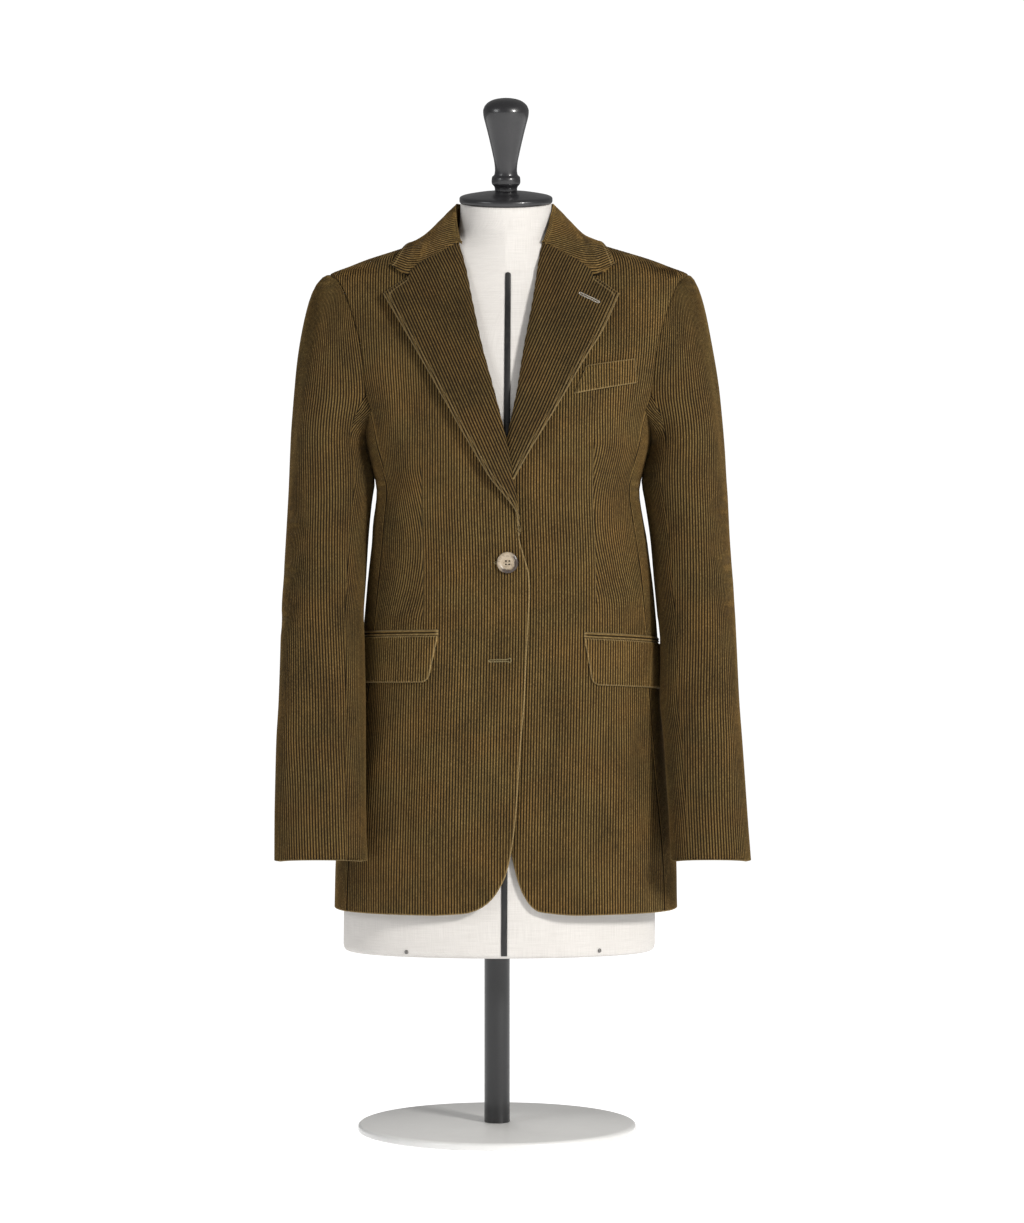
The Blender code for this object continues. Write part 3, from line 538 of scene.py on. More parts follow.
BODY = table(
    "height half_width front back squareness centre",
    (240, 184, 114, 118, 2.45, -7.5), (290, 182, 114, 119, 2.45, -7.5), (388, 171.5, 114, 121, 2.4, -6),
    (464, 163.5, 114, 121, 2.35, -4.5), (524, 159, 112, 115, 2.3, -3.2), (557, 156, 110, 107, 2.3, -2.8),
    (598, 152.4, 108, 98, 2.3, -2.8), (624, 149.3, 107, 92, 2.3, -3.4), (658, 145, 107, 86, 2.3, -4.6),
    (690, 141, 109, 84, 2.3, -5.2), (713, 146, 113, 87, 2.3, -5), (736, 152, 116, 92, 2.3, -5),
    (758, 156, 117, 97, 2.3, -5), (788, 168, 113, 104, 2.25, -4.5), (812, 181, 106, 109, 2.2, -4.5),
    (838, 193, 96, 112, 2.15, -4), (868, 201, 83, 112, 2.1, -4), (898, 203, 69, 104, 2.05, -4),
    (913, 201, 62, 92, 2, -4), (922, 194, 59, 84, 2, -4), (930, 174, 55, 77, 2, -4),
    (938.5, 152, 51, 70, 2, -4.5), (945, 131, 48, 66, 2, -5), (951.5, 110, 45, 62, 2, -6),
    (960, 84, 39, 59, 2, -7), (968, 58, 33, 56, 2, -7), (985, 8, 5, 8, 2, -7))
ARMHOLE = table(
    "height half_width",
    (773, 146.2), (790, 152), (808, 154.5), (825, 155.5), (851, 160.5), (884, 170.5), (904, 178),
    (914, 184), (922, 194))
LAP_DEPTH = 5.6            # how far the left front lies under the right one
LAP_FULL, LAP_END = 26.0, 62.0
LAP_TOP, LAP_FADED = 745.0, 800.0


def body_point(angle, height):
    """Point of the jacket's outer face. The angle is 0 at centre front, a quarter turn at the left side."""
    power = 2 / smooth(BODY, "squareness", height)
    side, facing = np.sin(angle), np.cos(angle)
    x = smooth(BODY, "half_width", height) * np.sign(side) * np.abs(side) ** power
    depth = np.where(facing > 0, -smooth(BODY, "front", height), smooth(BODY, "back", height))
    return np.stack((smooth(BODY, "centre", height) + x, depth * np.abs(facing) ** power,
                     height + 0 * angle), axis=-1)


def round_body(angle, height):
    """The way round the body at a place, as long as a fiftieth of a radian is there."""
    return body_point(angle + 0.01, height) - body_point(angle - 0.01, height)


def on_body(angle, height, out):
    """Point at a distance out of the outer face."""
    up = body_point(angle, height + 0.5) - body_point(angle, height - 0.5)
    way = np.cross(round_body(angle, height), up)
    way = way / np.linalg.norm(way, axis=-1, keepdims=True)
    return body_point(angle, height) + way * np.expand_dims(out + 0 * angle, -1)


def angle_of(x, height):
    """Angle of the front's point at x."""
    reach = (x - smooth(BODY, "centre", height)) / smooth(BODY, "half_width", height)
    power = smooth(BODY, "squareness", height) / 2
    return np.sign(reach) * np.arcsin(np.clip(np.abs(reach), 0, 1) ** power)


def on_front(x, height, out):
    """Point at a distance out of the front, given by its x."""
    return on_body(angle_of(x, height), height, out)


def half_gap(angle, height):
    """Half of the gap at a seam, as an angle."""
    return SEAM_GAP / 2 / (np.linalg.norm(round_body(angle, height), axis=-1) / 0.02)


def armhole_angle(height):
    """Angle where a front ends: at the side seam, the armhole, then the shoulder seam."""
    reach = smooth(ARMHOLE, "half_width", height) / smooth(BODY, "half_width", height)
    set_in = np.arcsin(np.clip(reach, 0, 1) ** (smooth(BODY, "squareness", height) / 2))
    return np.where(height < ARMHOLE_SIDE, SIDE_SEAM, np.where(height < SHOULDER_TIP, set_in, pi / 2))


def lap_inset(x, height):
    """How far the left front lies inside the outer face, under the right front and its lapel."""
    return LAP_DEPTH * (1 - ease(x, LAP_FULL, LAP_END)) * (1 - ease(height, LAP_TOP, LAP_FADED))


def cloth_place(start):
    """The cloth's own plane, as two values in millimetres: across the wales, then along them."""
    uv = start.node("ShaderNodeUVMap", uv_map="cloth")
    apart = start.node("ShaderNodeSeparateXYZ", {"Vector": Value(start.tree, uv.outputs["UV"])})
    return [Value(start.tree, apart.outputs[axis]) for axis in "XY"]


def stretched(start, across, along):
    """A vector of two values, for noise that is finer one way than the other."""
    return Value(start.tree, start.node("ShaderNodeCombineXYZ", {"X": across, "Y": along}).outputs[0])


# Colours: painted shade in the grooves, the pile, and pale rubbed pile, also a painted crest highlight.
GROOVE_SHADE, PILE, WORN_AND_CREST_LIGHT = (0.011, 0.007, 0.0025), (0.198, 0.121, 0.035), (0.41, 0.295, 0.135)


def corduroy(name, painted_lighting, rub, stitch_line=0.0):
    """Corduroy: painted groove shade, brushed pile catching light unevenly, painted crest tips, edges rubbed
    paler.
    """
    made, shader, start = new_material(name, 0.85, Specular_IOR_Level=0.15, Sheen_Weight=0.05,
                                       Sheen_Roughness=0.4, Sheen_Tint=(0.9, 0.74, 0.5, 1))
    # The factor scales every colour of this copy: painted shade below 1, painted light above 1.
    deep, pile, worn_and_crest_light = ([channel * painted_lighting for channel in colour] + [1] for colour in (GROOVE_SHADE, PILE, WORN_AND_CREST_LIGHT))
    across, along = cloth_place(start)
    count = across / WALE
    off_crest = (count.maths("FRACT") - 0.5).maths("ABSOLUTE")
    on_pile = 1.0 - off_crest.between(0.12, 0.4)
    fibres = start.noise(1.0, 4.0, stretched(start, across / 0.42, along / 2.2))
    tufts = start.noise(1.0, 3.0, stretched(start, count.maths("FLOOR") * 5.37, along / 9.0))
    rubbed = start.noise(1.0, 3.0, stretched(start, across / 34.0, along / 60.0))
    patches = start.noise(1.0, 4.0, stretched(start, across / 55.0, along / 45.0))
    strands = fibres.between(0.3, 0.7)
    light = on_pile * (0.42 + strands * 0.5 + (tufts - 0.5) * 0.7 + (rubbed - 0.5) * 0.8)
    hue = patches.between(0.3, 0.7).blend([pile[0] * 0.97, pile[1] * 1.01, pile[2] * 1.05, 1],
                                          [pile[0] * 1.05, pile[1] * 0.97, pile[2] * 0.93, 1])
    # Painted highlight: the crests' tips are mixed towards the pale colour of rubbed pile.
    crest_highlight = (1.0 - off_crest.between(0.02, 0.2)) * fibres.between(0.45, 0.7) * 0.42
    hue = crest_highlight.blend(hue, worn_and_crest_light)
    edge = start.node("ShaderNodeAttribute", attribute_name="edge")
    from_edge = Value(start.tree, edge.outputs["Fac"])
    wear = (1.0 - from_edge.between(0.3, 2.0)) * (0.3 + strands * 0.55)
    if stitch_line:
        pulled = 1.0 - (from_edge - stitch_line).maths("ABSOLUTE").between(0.2, 0.8)
        wear = wear.maths("MAXIMUM", pulled * (0.12 + strands * 0.45))
    wear = wear * rub
    # The grooves take the painted shade, and the pile keeps its own colour.
    cloth = light.maths("MAXIMUM", 0.0).blend(deep, hue)
    feed(shader, wear.blend(cloth, worn_and_crest_light), "Base Color")
    feed(shader, 0.97 - on_pile * 0.14, "Roughness")
    bumped(shader, fibres * on_pile + on_pile * 0.4, 0.5, 0.35)
    return made


def plain_cloth(name, dark, light):
    """A smooth woven cloth, such as a lining: fine twill lines and faint streaks."""
    made, shader, start = new_material(name, 0.5, Sheen_Weight=0.2)
    across, along = cloth_place(start)
    twill = ((across + along) * (2 * pi / 0.9)).maths("SINE") * 0.5 + 0.5
    streaks = start.noise(1.0, 3.0, stretched(start, across / 1.2, along / 30.0))
    feed(shader, (twill * 0.3 + streaks * 0.7).blend(dark, light), "Base Color")
    bumped(shader, twill, 0.2, 0.1)
    return made


LAPEL_STITCH = 4.2         # from the lapels' and the collar's edge to the line of stitches inside it
# Each copy's second number is painted light or shade: lapels and sleeves darker, collar and trims lighter.
body_corduroy = corduroy("olive_corduroy", 1.0, 0.9)
sleeve_corduroy = corduroy("sleeve_corduroy", 0.84, 0.8)
lapel_corduroy = corduroy("lapel_corduroy", 0.68, 1.0, LAPEL_STITCH)
collar_corduroy = corduroy("collar_corduroy", 1.08, 0.8, LAPEL_STITCH)
trim_corduroy = corduroy("trim_corduroy", 1.12, 0.6)
lining = plain_cloth("brown_lining", (0.03, 0.019, 0.010, 1), (0.07, 0.045, 0.026, 1))


def sampled(grid, column, row):
    """A grid's values at places between its columns and rows."""
    column = np.clip(column, 0, grid.shape[1] - 1.001)
    row = np.clip(row, 0, grid.shape[0] - 1.001)
    left, low = column.astype(int), row.astype(int)
    s, t = column - left, row - low
    if grid.ndim == 3:
        s, t = s[:, None], t[:, None]
    lower = grid[low, left] * (1 - s) + grid[low, left + 1] * s
    upper = grid[low + 1, left] * (1 - s) + grid[low + 1, left + 1] * s
    return lower * (1 - t) + upper * t


class Face:
    """A curved face unrolled into cloth. point(q, b) is the face, and a the length along a row from start."""

    def __init__(self, point, first, last, start, rows, outward=1, steps=420, crowding=None):
        self.places = np.linspace(first, last, steps)
        self.rows = np.asarray(rows, dtype=float)
        self.outward = outward
        q, b = np.meshgrid(self.places, self.rows)
        points = point(q.ravel(), b.ravel()).reshape(len(self.rows), steps, 3)
        run = np.cumsum(np.linalg.norm(np.diff(points, axis=1), axis=2), axis=1)
        run = np.concatenate((np.zeros((len(self.rows), 1)), run), axis=1)
        run = run - np.array([[np.interp(start, self.places, row)] for row in run])
        if crowding is not None:
            run = run * crowding[:, None]
        self.run = run
        self.first = np.floor(run.min()) - 3
        columns = np.arange(self.first, run.max() + 4, 1.0)
        far = 40.0
        grid = np.empty((len(self.rows), len(columns), 3))
        for index, (length, line) in enumerate(zip(run, points)):
            ahead, behind = line[-1] - line[-5], line[0] - line[4]
            length = np.concatenate(([length[0] - far], length, [length[-1] + far]))
            line = np.concatenate(([line[0] + far * behind / np.linalg.norm(behind)], line,
                                   [line[-1] + far * ahead / np.linalg.norm(ahead)]))
            for axis in range(3):
                grid[index, :, axis] = np.interp(columns, length, line[:, axis])
        self.grid = grid
        way = np.cross(np.gradient(grid, axis=1), np.gradient(grid, self.rows, axis=0)) * outward
        self.out = way / np.maximum(np.linalg.norm(way, axis=2, keepdims=True), 1e-9)

    def at(self, a, b, lift):
        """Points of the cloth, lifted out of the face."""
        column, row = a - self.first, np.interp(b, self.rows, np.arange(len(self.rows)))
        out = sampled(self.out, column, row)
        out = out / np.maximum(np.linalg.norm(out, axis=1, keepdims=True), 1e-9)
        return sampled(self.grid, column, row) + out * np.expand_dims(lift, -1)

    def a_of(self, q, b):
        """Where a place along a row lies across the cloth."""
        q, b = np.broadcast_arrays(np.asarray(q, dtype=float), np.asarray(b, dtype=float))
        return sampled(self.run, np.interp(q, self.places, np.arange(len(self.places))),
                       np.interp(b, self.rows, np.arange(len(self.rows))))

    def line(self, q, b):
        """A line along the face as points of the cloth's plane."""
        q, b = np.broadcast_arrays(np.asarray(q, dtype=float), np.asarray(b, dtype=float))
        return np.stack((self.a_of(q, b), b), axis=-1)


def distance(points, path):
    """How far each point of the cloth's plane is from a path."""
    nearest = np.full(len(points), 99.0)
    for first, last in zip(path[:-1], path[1:]):
        way = last - first
        length = max(way @ way, 1e-9)
        share = np.clip((points - first) @ way / length, 0, 1)
        gap = points - first - share[:, None] * way
        nearest = np.minimum(nearest, np.sqrt((gap * gap).sum(axis=1)))
    return nearest


def crease_lift(points, creases):
    """Soft ridges and troughs: each runs between two places and fades at both ends."""
    lift = np.zeros(len(points))
    for a0, b0, a1, b1, width, height in creases:
        way = np.array((a1 - a0, b1 - b0))
        length = np.linalg.norm(way)
        along = (points - (a0, b0)) @ way / length
        aside = (points[:, 0] - a0) * way[1] / length - (points[:, 1] - b0) * way[0] / length
        bow = aside - 0.06 * length * np.sin(np.clip(along / length, 0, 1) * pi)
        fade = ease(along, -width, 0.35 * length) * (1 - ease(along, 0.65 * length, length + width))
        lift += height * np.exp(-(bow / width) ** 2) * fade
    return lift


COLUMN = WALE / 4          # the mesh has four columns to a wale
ROW = 10.0
ROW_SCALE = 0.075          # the triangles are this much longer along the wales than across
EDGE_ROWS = (0.5, 1.4, 3.6)
INNER_STEP = 9.0
WALE_FROM, WALE_WHOLE = 0.2, 1.4     # from an edge or seam to where the wales start and are whole
WALE_FULLNESS = 0.7                  # below 1 a wale is fuller than a wave
SEAM_SPREAD = 1.5
STITCH_SINK, STITCH_SPREAD = 0.45, 0.8
DART_COVERED = 1.1                   # a dart is rubbed as little as cloth this far from an edge
INNER_COVERED = 50.0                 # and the inner skin not at all


def densify(path, step):
    """The same path with no step longer than this."""
    made = [path[:1]]
    for first, last in zip(path[:-1], path[1:]):
        count = max(1, int(np.ceil(np.linalg.norm(last - first) / step)))
        made.append(first + (last - first) * (np.arange(1, count + 1) / count)[:, None])
    return np.concatenate(made)


def crossings(path):
    """Adds to a path a point wherever it crosses a column of the mesh. Gives it and the crossings."""
    made, marks = [path[:1]], []
    for first, last in zip(path[:-1], path[1:]):
        low, high = sorted((first[0], last[0]))
        columns = np.arange(np.ceil(low / COLUMN), np.ceil(high / COLUMN))
        if last[0] < first[0]:
            columns = columns[::-1]
        if len(columns):
            share = (columns * COLUMN - first[0]) / (last[0] - first[0])
            places = first + (last - first) * share[:, None]
            marks.append(np.stack((columns, places[:, 1]), axis=-1))
            made.append(places[(share > 0.002) & (share < 0.998)])
        made.append(last[None])
    return np.concatenate(made), np.concatenate(marks) if marks else np.zeros((0, 2))


def fill_columns(marks):
    """The mesh's points between the crossings of each column."""
    made = []
    order = np.lexsort((marks[:, 1], marks[:, 0]))
    marks = marks[order]
    columns, starts = np.unique(marks[:, 0], return_index=True)
    for column, places in zip(columns, np.split(marks[:, 1], starts[1:])):
        offset = ROW / 2 * (column % 2)
        for low, high in zip(places[0::2], places[1::2]):
            if high - low < 2.5:
                continue
            reach = [step for step in EDGE_ROWS if step < (high - low) / 2 - 0.3]
            inner = np.arange(np.ceil((low + 6 - offset) / ROW) * ROW + offset, high - 6, ROW)
            rows = np.concatenate((low + np.array(reach), inner, high - np.array(reach)))
            made.append(np.stack((np.full(len(rows), column * COLUMN), rows), axis=-1))
    return np.concatenate(made) if made else np.zeros((0, 2))


def triangulate(outline, loose, darts, scale):
    """Triangles of the cloth's plane inside an outline, with its darts cut out."""
    edges = []
    start = len(outline)
    for dart in darts:
        size = len(dart)
        edges += [(start + index, start + (index + 1) % size) for index in range(size)]
        start += size
    points = np.concatenate([outline, *darts, loose])
    flat = [Vector((a, b * scale)) for a, b in points]
    made = delaunay_2d_cdt(flat, edges, [list(range(len(outline)))], 1, 1e-5)
    names = np.array([old[0] if old else -1 for old in made[3]])
    faces = np.array([[names[corner] for corner in face] for face in made[2]])
    faces = faces[(faces >= 0).all(axis=1)]
    for dart in darts:
        faces = faces[~inside(points[faces].mean(axis=1), dart)]
    return points, faces


def inside(points, loop):
    """Which points lie inside a closed loop."""
    hit = np.zeros(len(points), dtype=bool)
    for first, last in zip(loop, np.roll(loop, -1, axis=0)):
        spans = (first[1] > points[:, 1]) != (last[1] > points[:, 1])
        rise = last[1] - first[1] if last[1] != first[1] else 1.0
        hit ^= spans & (points[:, 0] < first[0] + (last[0] - first[0]) * (points[:, 1] - first[1]) / rise)
    return hit


def rim_edges(faces):
    """Directed edges that only one triangle has."""
    edges = np.concatenate((faces[:, (0, 1)], faces[:, (1, 2)], faces[:, (2, 0)]))
    there = set(map(tuple, edges))
    return [(first, last) for first, last in there if (last, first) not in there]


def dart_width(b, middle, half, width):
    """How much cloth a dart takes at a height."""
    return width * np.cos(np.clip(np.abs(b - middle) / half, 0, 1) * pi / 2) ** 1.2


def cut_cloth(name, face, runs, stuff, inner_stuff, darts=(), creases=(), wall=WALL, rounding=1.4,
              stitched=0.0, seam_sink=0.8):
    """Cuts one piece, bends it to its face and gives it a wall.

    runs are the outline's stretches, (kind, line): an edge is finished and rounded, a seam sinks in,
    and a close or hidden one changes nothing.
    Each dart is (a of its inner line, middle b, half height, width, side): what lies beyond it on that
    side is drawn in. The wall is the cloth's thickness, and its inner skin has far fewer triangles.
    """
    runs = [(kind, densify(np.asarray(line), 5.0)) for kind, line in runs]
    path = np.concatenate([line if index == 0 else line[1:] for index, (kind, line) in enumerate(runs)])
    if np.linalg.norm(path[0] - path[-1]) < 0.05:
        path = path[:-1]
    following = np.roll(path, -1, axis=0)
    if (path[:, 0] * following[:, 1] - following[:, 0] * path[:, 1]).sum() < 0:
        path = path[::-1]
    closed = np.concatenate((path, path[:1]))
    outline, marks = crossings(closed)
    outline = outline[:-1]
    outline = outline[np.linalg.norm(outline - np.roll(outline, 1, axis=0), axis=1) > 0.02]
    loops = []
    for start, middle, half, width, beyond in darts:
        b = middle + half * np.sin(np.linspace(-pi / 2, pi / 2, int(half / 3)))
        taken = dart_width(b, middle, half, width)
        inner_line = np.stack((start + 0 * b, b), axis=-1)
        outer_line = np.stack((start + beyond * taken, b), axis=-1)[1:-1]
        loops.append(np.concatenate((inner_line, outer_line[::-1]))[::-1])
    seams_of_darts = [np.concatenate((loop, loop[:1])) for loop in loops]

    def drawn_in(points):
        """Across the face, where the darts have taken cloth away."""
        a = points[:, 0].copy()
        for start, middle, half, width, beyond in darts:
            taken = dart_width(points[:, 1], middle, half, width)
            a -= beyond * np.clip(beyond * (points[:, 0] - start), 0, taken)
        return a

    def shape(points, depth, fine):
        """The lift of each point, and its distance to an edge or a dart, where the pile is rubbed."""
        to_edge = np.full(len(points), 99.0)
        to_dart = np.full(len(points), 99.0)
        to_seam = np.full(len(points), 99.0)
        for kind, line in runs:
            if kind == "edge":
                to_edge = np.minimum(to_edge, distance(points, line))
            if kind == "seam":
                to_seam = np.minimum(to_seam, distance(points, line))
        for line in seams_of_darts:
            to_dart = np.minimum(to_dart, distance(points, line))
        to_seam = np.minimum(to_seam, to_dart)
        lift = crease_lift(points, creases) - depth
        if fine:
            crest = 0.5 - 0.5 * np.cos(2 * pi * (points[:, 0] / WALE))
            fade = ease(np.minimum(to_edge, to_seam), WALE_FROM, WALE_WHOLE)
            lift = lift + WALE_HEIGHT * crest ** WALE_FULLNESS * fade
            lift = lift - rounding * (1 - np.sqrt(1 - np.clip(1 - to_edge / rounding, 0, 1) ** 2))
            lift = lift - seam_sink * np.exp(-(to_seam / SEAM_SPREAD) ** 2)
            if stitched:
                lift = lift - STITCH_SINK * np.exp(-((to_edge - stitched) / STITCH_SPREAD) ** 2)
        return lift, np.minimum(to_edge, to_dart + DART_COVERED)

    loose = fill_columns(marks)
    gap = distance(loose, closed)
    for loop, line in zip(loops, seams_of_darts):
        gap = np.minimum(gap, distance(loose, line))
        gap[inside(loose, loop)] = 0
    points, faces = triangulate(outline, loose[gap > 0.3], loops, ROW_SCALE)
    lift, to_edge = shape(points, 0.0, True)
    outer = face.at(drawn_in(points), points[:, 1], lift)

    low, high = points.min(axis=0), points.max(axis=0)
    sparse = np.stack(np.meshgrid(np.arange(low[0], high[0], INNER_STEP),
                                  np.arange(low[1], high[1], INNER_STEP)), axis=-1).reshape(-1, 2)
    sparse = sparse[inside(sparse, path) & (distance(sparse, closed) > 2.5)]
    for loop, line in zip(loops, seams_of_darts):
        sparse = sparse[(distance(sparse, line) > 2) & ~inside(sparse, loop)]
    inner_points, inner_faces = triangulate(outline, sparse, loops, 1.0)
    inner_lift, inner_edge = shape(inner_points, wall, False)
    inner = face.at(drawn_in(inner_points), inner_points[:, 1], inner_lift)

    offset = len(points)
    rim = [(last, first, first + offset, last + offset) for first, last in rim_edges(faces)]
    everything = [tuple(corners) for corners in faces]
    everything += [tuple(corners) for corners in inner_faces[:, ::-1] + offset]
    everything += rim
    kinds = [0] * len(faces) + [1] * len(inner_faces) + [0] * len(rim)
    if face.outward < 0:
        everything = [corners[::-1] for corners in everything]
    piece = make_mesh(name, np.concatenate((outer, inner)), everything, [stuff, inner_stuff], kinds,
                      np.concatenate((points, inner_points)))
    distances = piece.data.attributes.new("edge", "FLOAT", "POINT")
    rubbed_from = np.concatenate((to_edge, inner_edge + INNER_COVERED))
    distances.data.foreach_set("value", rubbed_from.astype(np.float32))
    return piece


# ---- The fronts: right over left, each shaped by a waist dart, the hem curved away in front ----
# Each is one piece of corduroy from hem to shoulder, lined with twill. Its edge is finished and turned in,
# and its side, armhole and shoulder are sewn. The left front lies further in where the right one laps it.
RIGHT_FRONT_EDGE = table(
    "height x",
    (240, -82), (242.5, -49), (251, -29), (264.5, -16.5), (284, -7), (304, -2), (341, 3), (425, 9),
    (467, 12.5), (511, 14.5), (549, 16.5), (581, 18), (598, 17), (615, 12.5), (634, 7), (650, 4),
    (676, -1), (707, -5), (740, -12), (780, -22.5), (797, -27), (855, -41.5), (918, -53.5),
    (952, -60), (960, -61), (968, -62.5))
LEFT_FRONT_EDGE = table(
    "height x",
    (240, 66), (241.5, 45), (244, 27), (255, 15), (272, 6.5), (301, -1), (341, -9), (425, -17),
    (467, -22), (511, -25), (549, -27.5), (598, -29), (634, -21), (650, -15), (676, -11), (707, -6),
    (740, -1), (757, 4.5), (801, 18.5), (866, 28.5), (938, 38), (952, 44.5), (960, 46), (968, 47.5))
LAP_STANDS = 1.3           # the right front's edge stands off the left one
LAP_STANDS_WIDE = 18.0     # and lies down again this far from its edge
LAP_STANDS_FROM, LAP_STANDS_TO = (300, 420), (640, 670)    # heights between which it starts and ends
ROLL_START = 640.0         # the front edge is covered by its lapel from here up
BODY_ROWS = np.concatenate((np.arange(236, 900, 6.0), np.arange(900, 966, 2.0), (966.5, NECK, 970.0)))
EDGE_HEIGHTS = np.concatenate((HEM + np.array((0, 0.25, 0.6, 1.1, 1.8, 2.7, 4, 6, 9, 13, 18)),
                               np.arange(264, 966, 6.0), (NECK,)))


def seam_heights(low, high):
    """Heights along a seam, closer together towards the shoulder's top."""
    return np.concatenate((np.arange(low, min(high, 904) - 1, 6.0), np.arange(904, high - 0.5, 1.5), (high,)))


def make_front(side, edge, dart, creases, name):
    """A front between its edge and the side seam, armhole and shoulder, with its dart sewn."""
    def place(angle, height):
        x = body_point(angle, height)[:, 0]
        from_edge = smooth(edge, "x", height) - x
        near_lap = ease(height, *LAP_STANDS_FROM) * (1 - ease(height, *LAP_STANDS_TO))
        stands = LAP_STANDS * (1 - ease(from_edge, 0, LAP_STANDS_WIDE)) * near_lap
        return on_body(angle, height, -lap_inset(x, height) if side == LEFT else stands)

    face = Face(place, *sorted((-0.5 * side, (pi / 2 + 0.2) * side)), 0.0, BODY_ROWS)
    inner = angle_of(smooth(edge, "x", EDGE_HEIGHTS), EDGE_HEIGHTS)
    outer_heights = seam_heights(HEM, NECK)
    outer = armhole_angle(outer_heights)
    outer = side * (outer - half_gap(outer, outer_heights))
    start, middle, half, width, beyond = dart

    def fabric(q, b):
        """A line of the cut cloth. The dart adds cloth to what lies beyond it."""
        line = face.line(q, b)
        taken = dart_width(line[:, 1], middle, half, width)
        line[:, 0] += beyond * np.where(beyond * line[:, 0] > beyond * start, taken, 0)
        return line

    shown = EDGE_HEIGHTS <= ROLL_START
    runs = [
        ("edge", fabric(np.linspace(outer[0], inner[0], 60), HEM)),
        ("edge", fabric(inner[shown], EDGE_HEIGHTS[shown])),
        ("hidden", fabric(inner[~shown], EDGE_HEIGHTS[~shown])),
        ("seam", fabric(np.linspace(inner[-1], outer[-1], 6), NECK)),
        ("seam", fabric(outer[::-1], outer_heights[::-1])),
    ]
    return cut_cloth(name, face, runs, body_corduroy, lining, (dart,), creases)


# Soft creases, as (across, height) of both ends, width and height: folds of the skirt, drags at the button.
RIGHT_CREASES = (
    (-42, 520, -58, 252, 17, 2.4), (-88, 468, -104, 244, 14, -2.6), (-128, 470, -146, 246, 15, 1.6),
    (-16, 604, -82, 582, 7, -1.2), (-14, 617, -74, 648, 7, -1.1), (-30, 596, -60, 528, 12, 1.3),
    (-126, 838, -78, 716, 15, -2.2), (-104, 872, -92, 800, 12, 1.0), (-128, 596, -96, 560, 10, -1.5))
LEFT_CREASES = (
    (84, 600, 78, 262, 12, -2.0), (47, 700, 44, 290, 15, 3.0), (98, 462, 112, 246, 13, -2.0),
    (132, 470, 148, 250, 14, 1.5), (24, 607, 84, 590, 7, -1.2), (26, 622, 78, 652, 8, 1.0),
    (124, 830, 84, 712, 15, -2.0), (112, 770, 100, 700, 11, 1.4), (136, 610, 104, 566, 10, -1.5),
    (12, 720, 8, 270, 13, -3.4))
front_right = make_front(RIGHT, RIGHT_FRONT_EDGE, (-94.0, 629.0, 79.0, 15.0, RIGHT), RIGHT_CREASES,
                         "front_right_corduroy")
front_left = make_front(LEFT, LEFT_FRONT_EDGE, (92.0, 652.0, 82.0, 15.0, LEFT), LEFT_CREASES,
                        "front_left_corduroy")
for piece, word in ((front_right, "right"), (front_left, "left")):
    hand_over(piece, "corduroy", "front_" + word)


# ---- The side panels and the backs, which meet in a seam down the middle ----
# A panel joins front and back under each arm, its top cut out for the armhole. The backs run up to the
# collar. All are lined corduroy with a turned-up hem, plain seams and no vent.
def on_skin(angle, height):
    return on_body(angle, height, 0.0)


def make_side_panel(side, creases, name):
    """A panel between two upright seams, hollowed at its top by the armhole's lower end."""
    middle = side * pi / 2
    face = Face(on_skin, middle - 0.7, middle + 0.7, middle, BODY_ROWS)
    first = SIDE_SEAM + half_gap(np.array([SIDE_SEAM]), np.array([HEM]))[0]
    last = pi - first
    heights = seam_heights(HEM, ARMHOLE_SIDE)
    turn = np.linspace(first, last, 40)
    dip = (np.cos(turn) / np.cos(SIDE_SEAM)) ** 2
    armhole = ARMHOLE_BOTTOM + (ARMHOLE_SIDE - ARMHOLE_BOTTOM) * dip
    runs = [
        ("edge", face.line(side * turn[::-1], HEM)),
        ("seam", face.line(side * first, heights)),
        ("seam", face.line(side * turn, armhole)),
        ("seam", face.line(side * last, heights[::-1])),
    ]
    return cut_cloth(name, face, runs, body_corduroy, lining, creases=creases)


def make_back(side, creases, name):
    """A back between the middle seam and the side seam, armhole and shoulder."""
    face = Face(on_skin, *sorted((side * (pi / 2 - 0.3), side * (pi + 0.3))), side * pi, BODY_ROWS)
    heights = seam_heights(HEM, NECK)
    outer = pi - armhole_angle(heights)
    outer = side * (outer + half_gap(outer, heights))
    middle = side * (pi - half_gap(pi + 0 * heights, heights))
    runs = [
        ("edge", face.line(np.linspace(outer[0], middle[0], 60), HEM)),
        ("seam", face.line(middle, heights)),
        ("seam", face.line(np.linspace(middle[-1], outer[-1], 20), NECK)),
        ("seam", face.line(outer[::-1], heights[::-1])),
    ]
    return cut_cloth(name, face, runs, body_corduroy, lining, creases=creases)


# The creases of both sides differ, as they do when a wearer has moved.
PANEL_CREASES = {
    RIGHT: ((-6, 452, 4, 248, 15, 1.6), (10, 640, -12, 588, 11, -1.3), (-14, 700, 8, 668, 10, -0.9)),
    LEFT: ((8, 440, -4, 250, 14, 1.5), (-12, 626, 12, 572, 10, -1.2), (12, 690, -8, 652, 11, -1.0)),
}
BACK_CREASES = {
    RIGHT: ((28, 628, 118, 600, 13, -2.4), (24, 586, 108, 556, 12, -2.0), (52, 520, 70, 250, 19, 2.8),
            (104, 500, 126, 248, 15, -2.5), (142, 860, 100, 720, 17, -2.6), (60, 860, 48, 700, 22, 1.8)),
    LEFT: ((-26, 636, -104, 614, 12, -2.2), (-30, 600, -120, 566, 13, -2.3), (-58, 500, -64, 252, 18, 2.6),
           (-98, 512, -120, 250, 16, -2.6), (-146, 846, -96, 736, 16, -2.5), (-66, 850, -52, 690, 20, 1.9)),
}
for side, word in SIDES:
    panel = make_side_panel(side, PANEL_CREASES[side], "side_panel_" + word + "_corduroy")
    hand_over(panel, "corduroy", "side_panel_" + word)
    back = make_back(side, BACK_CREASES[side], "back_" + word + "_corduroy")
    hand_over(back, "corduroy", "back_" + word)


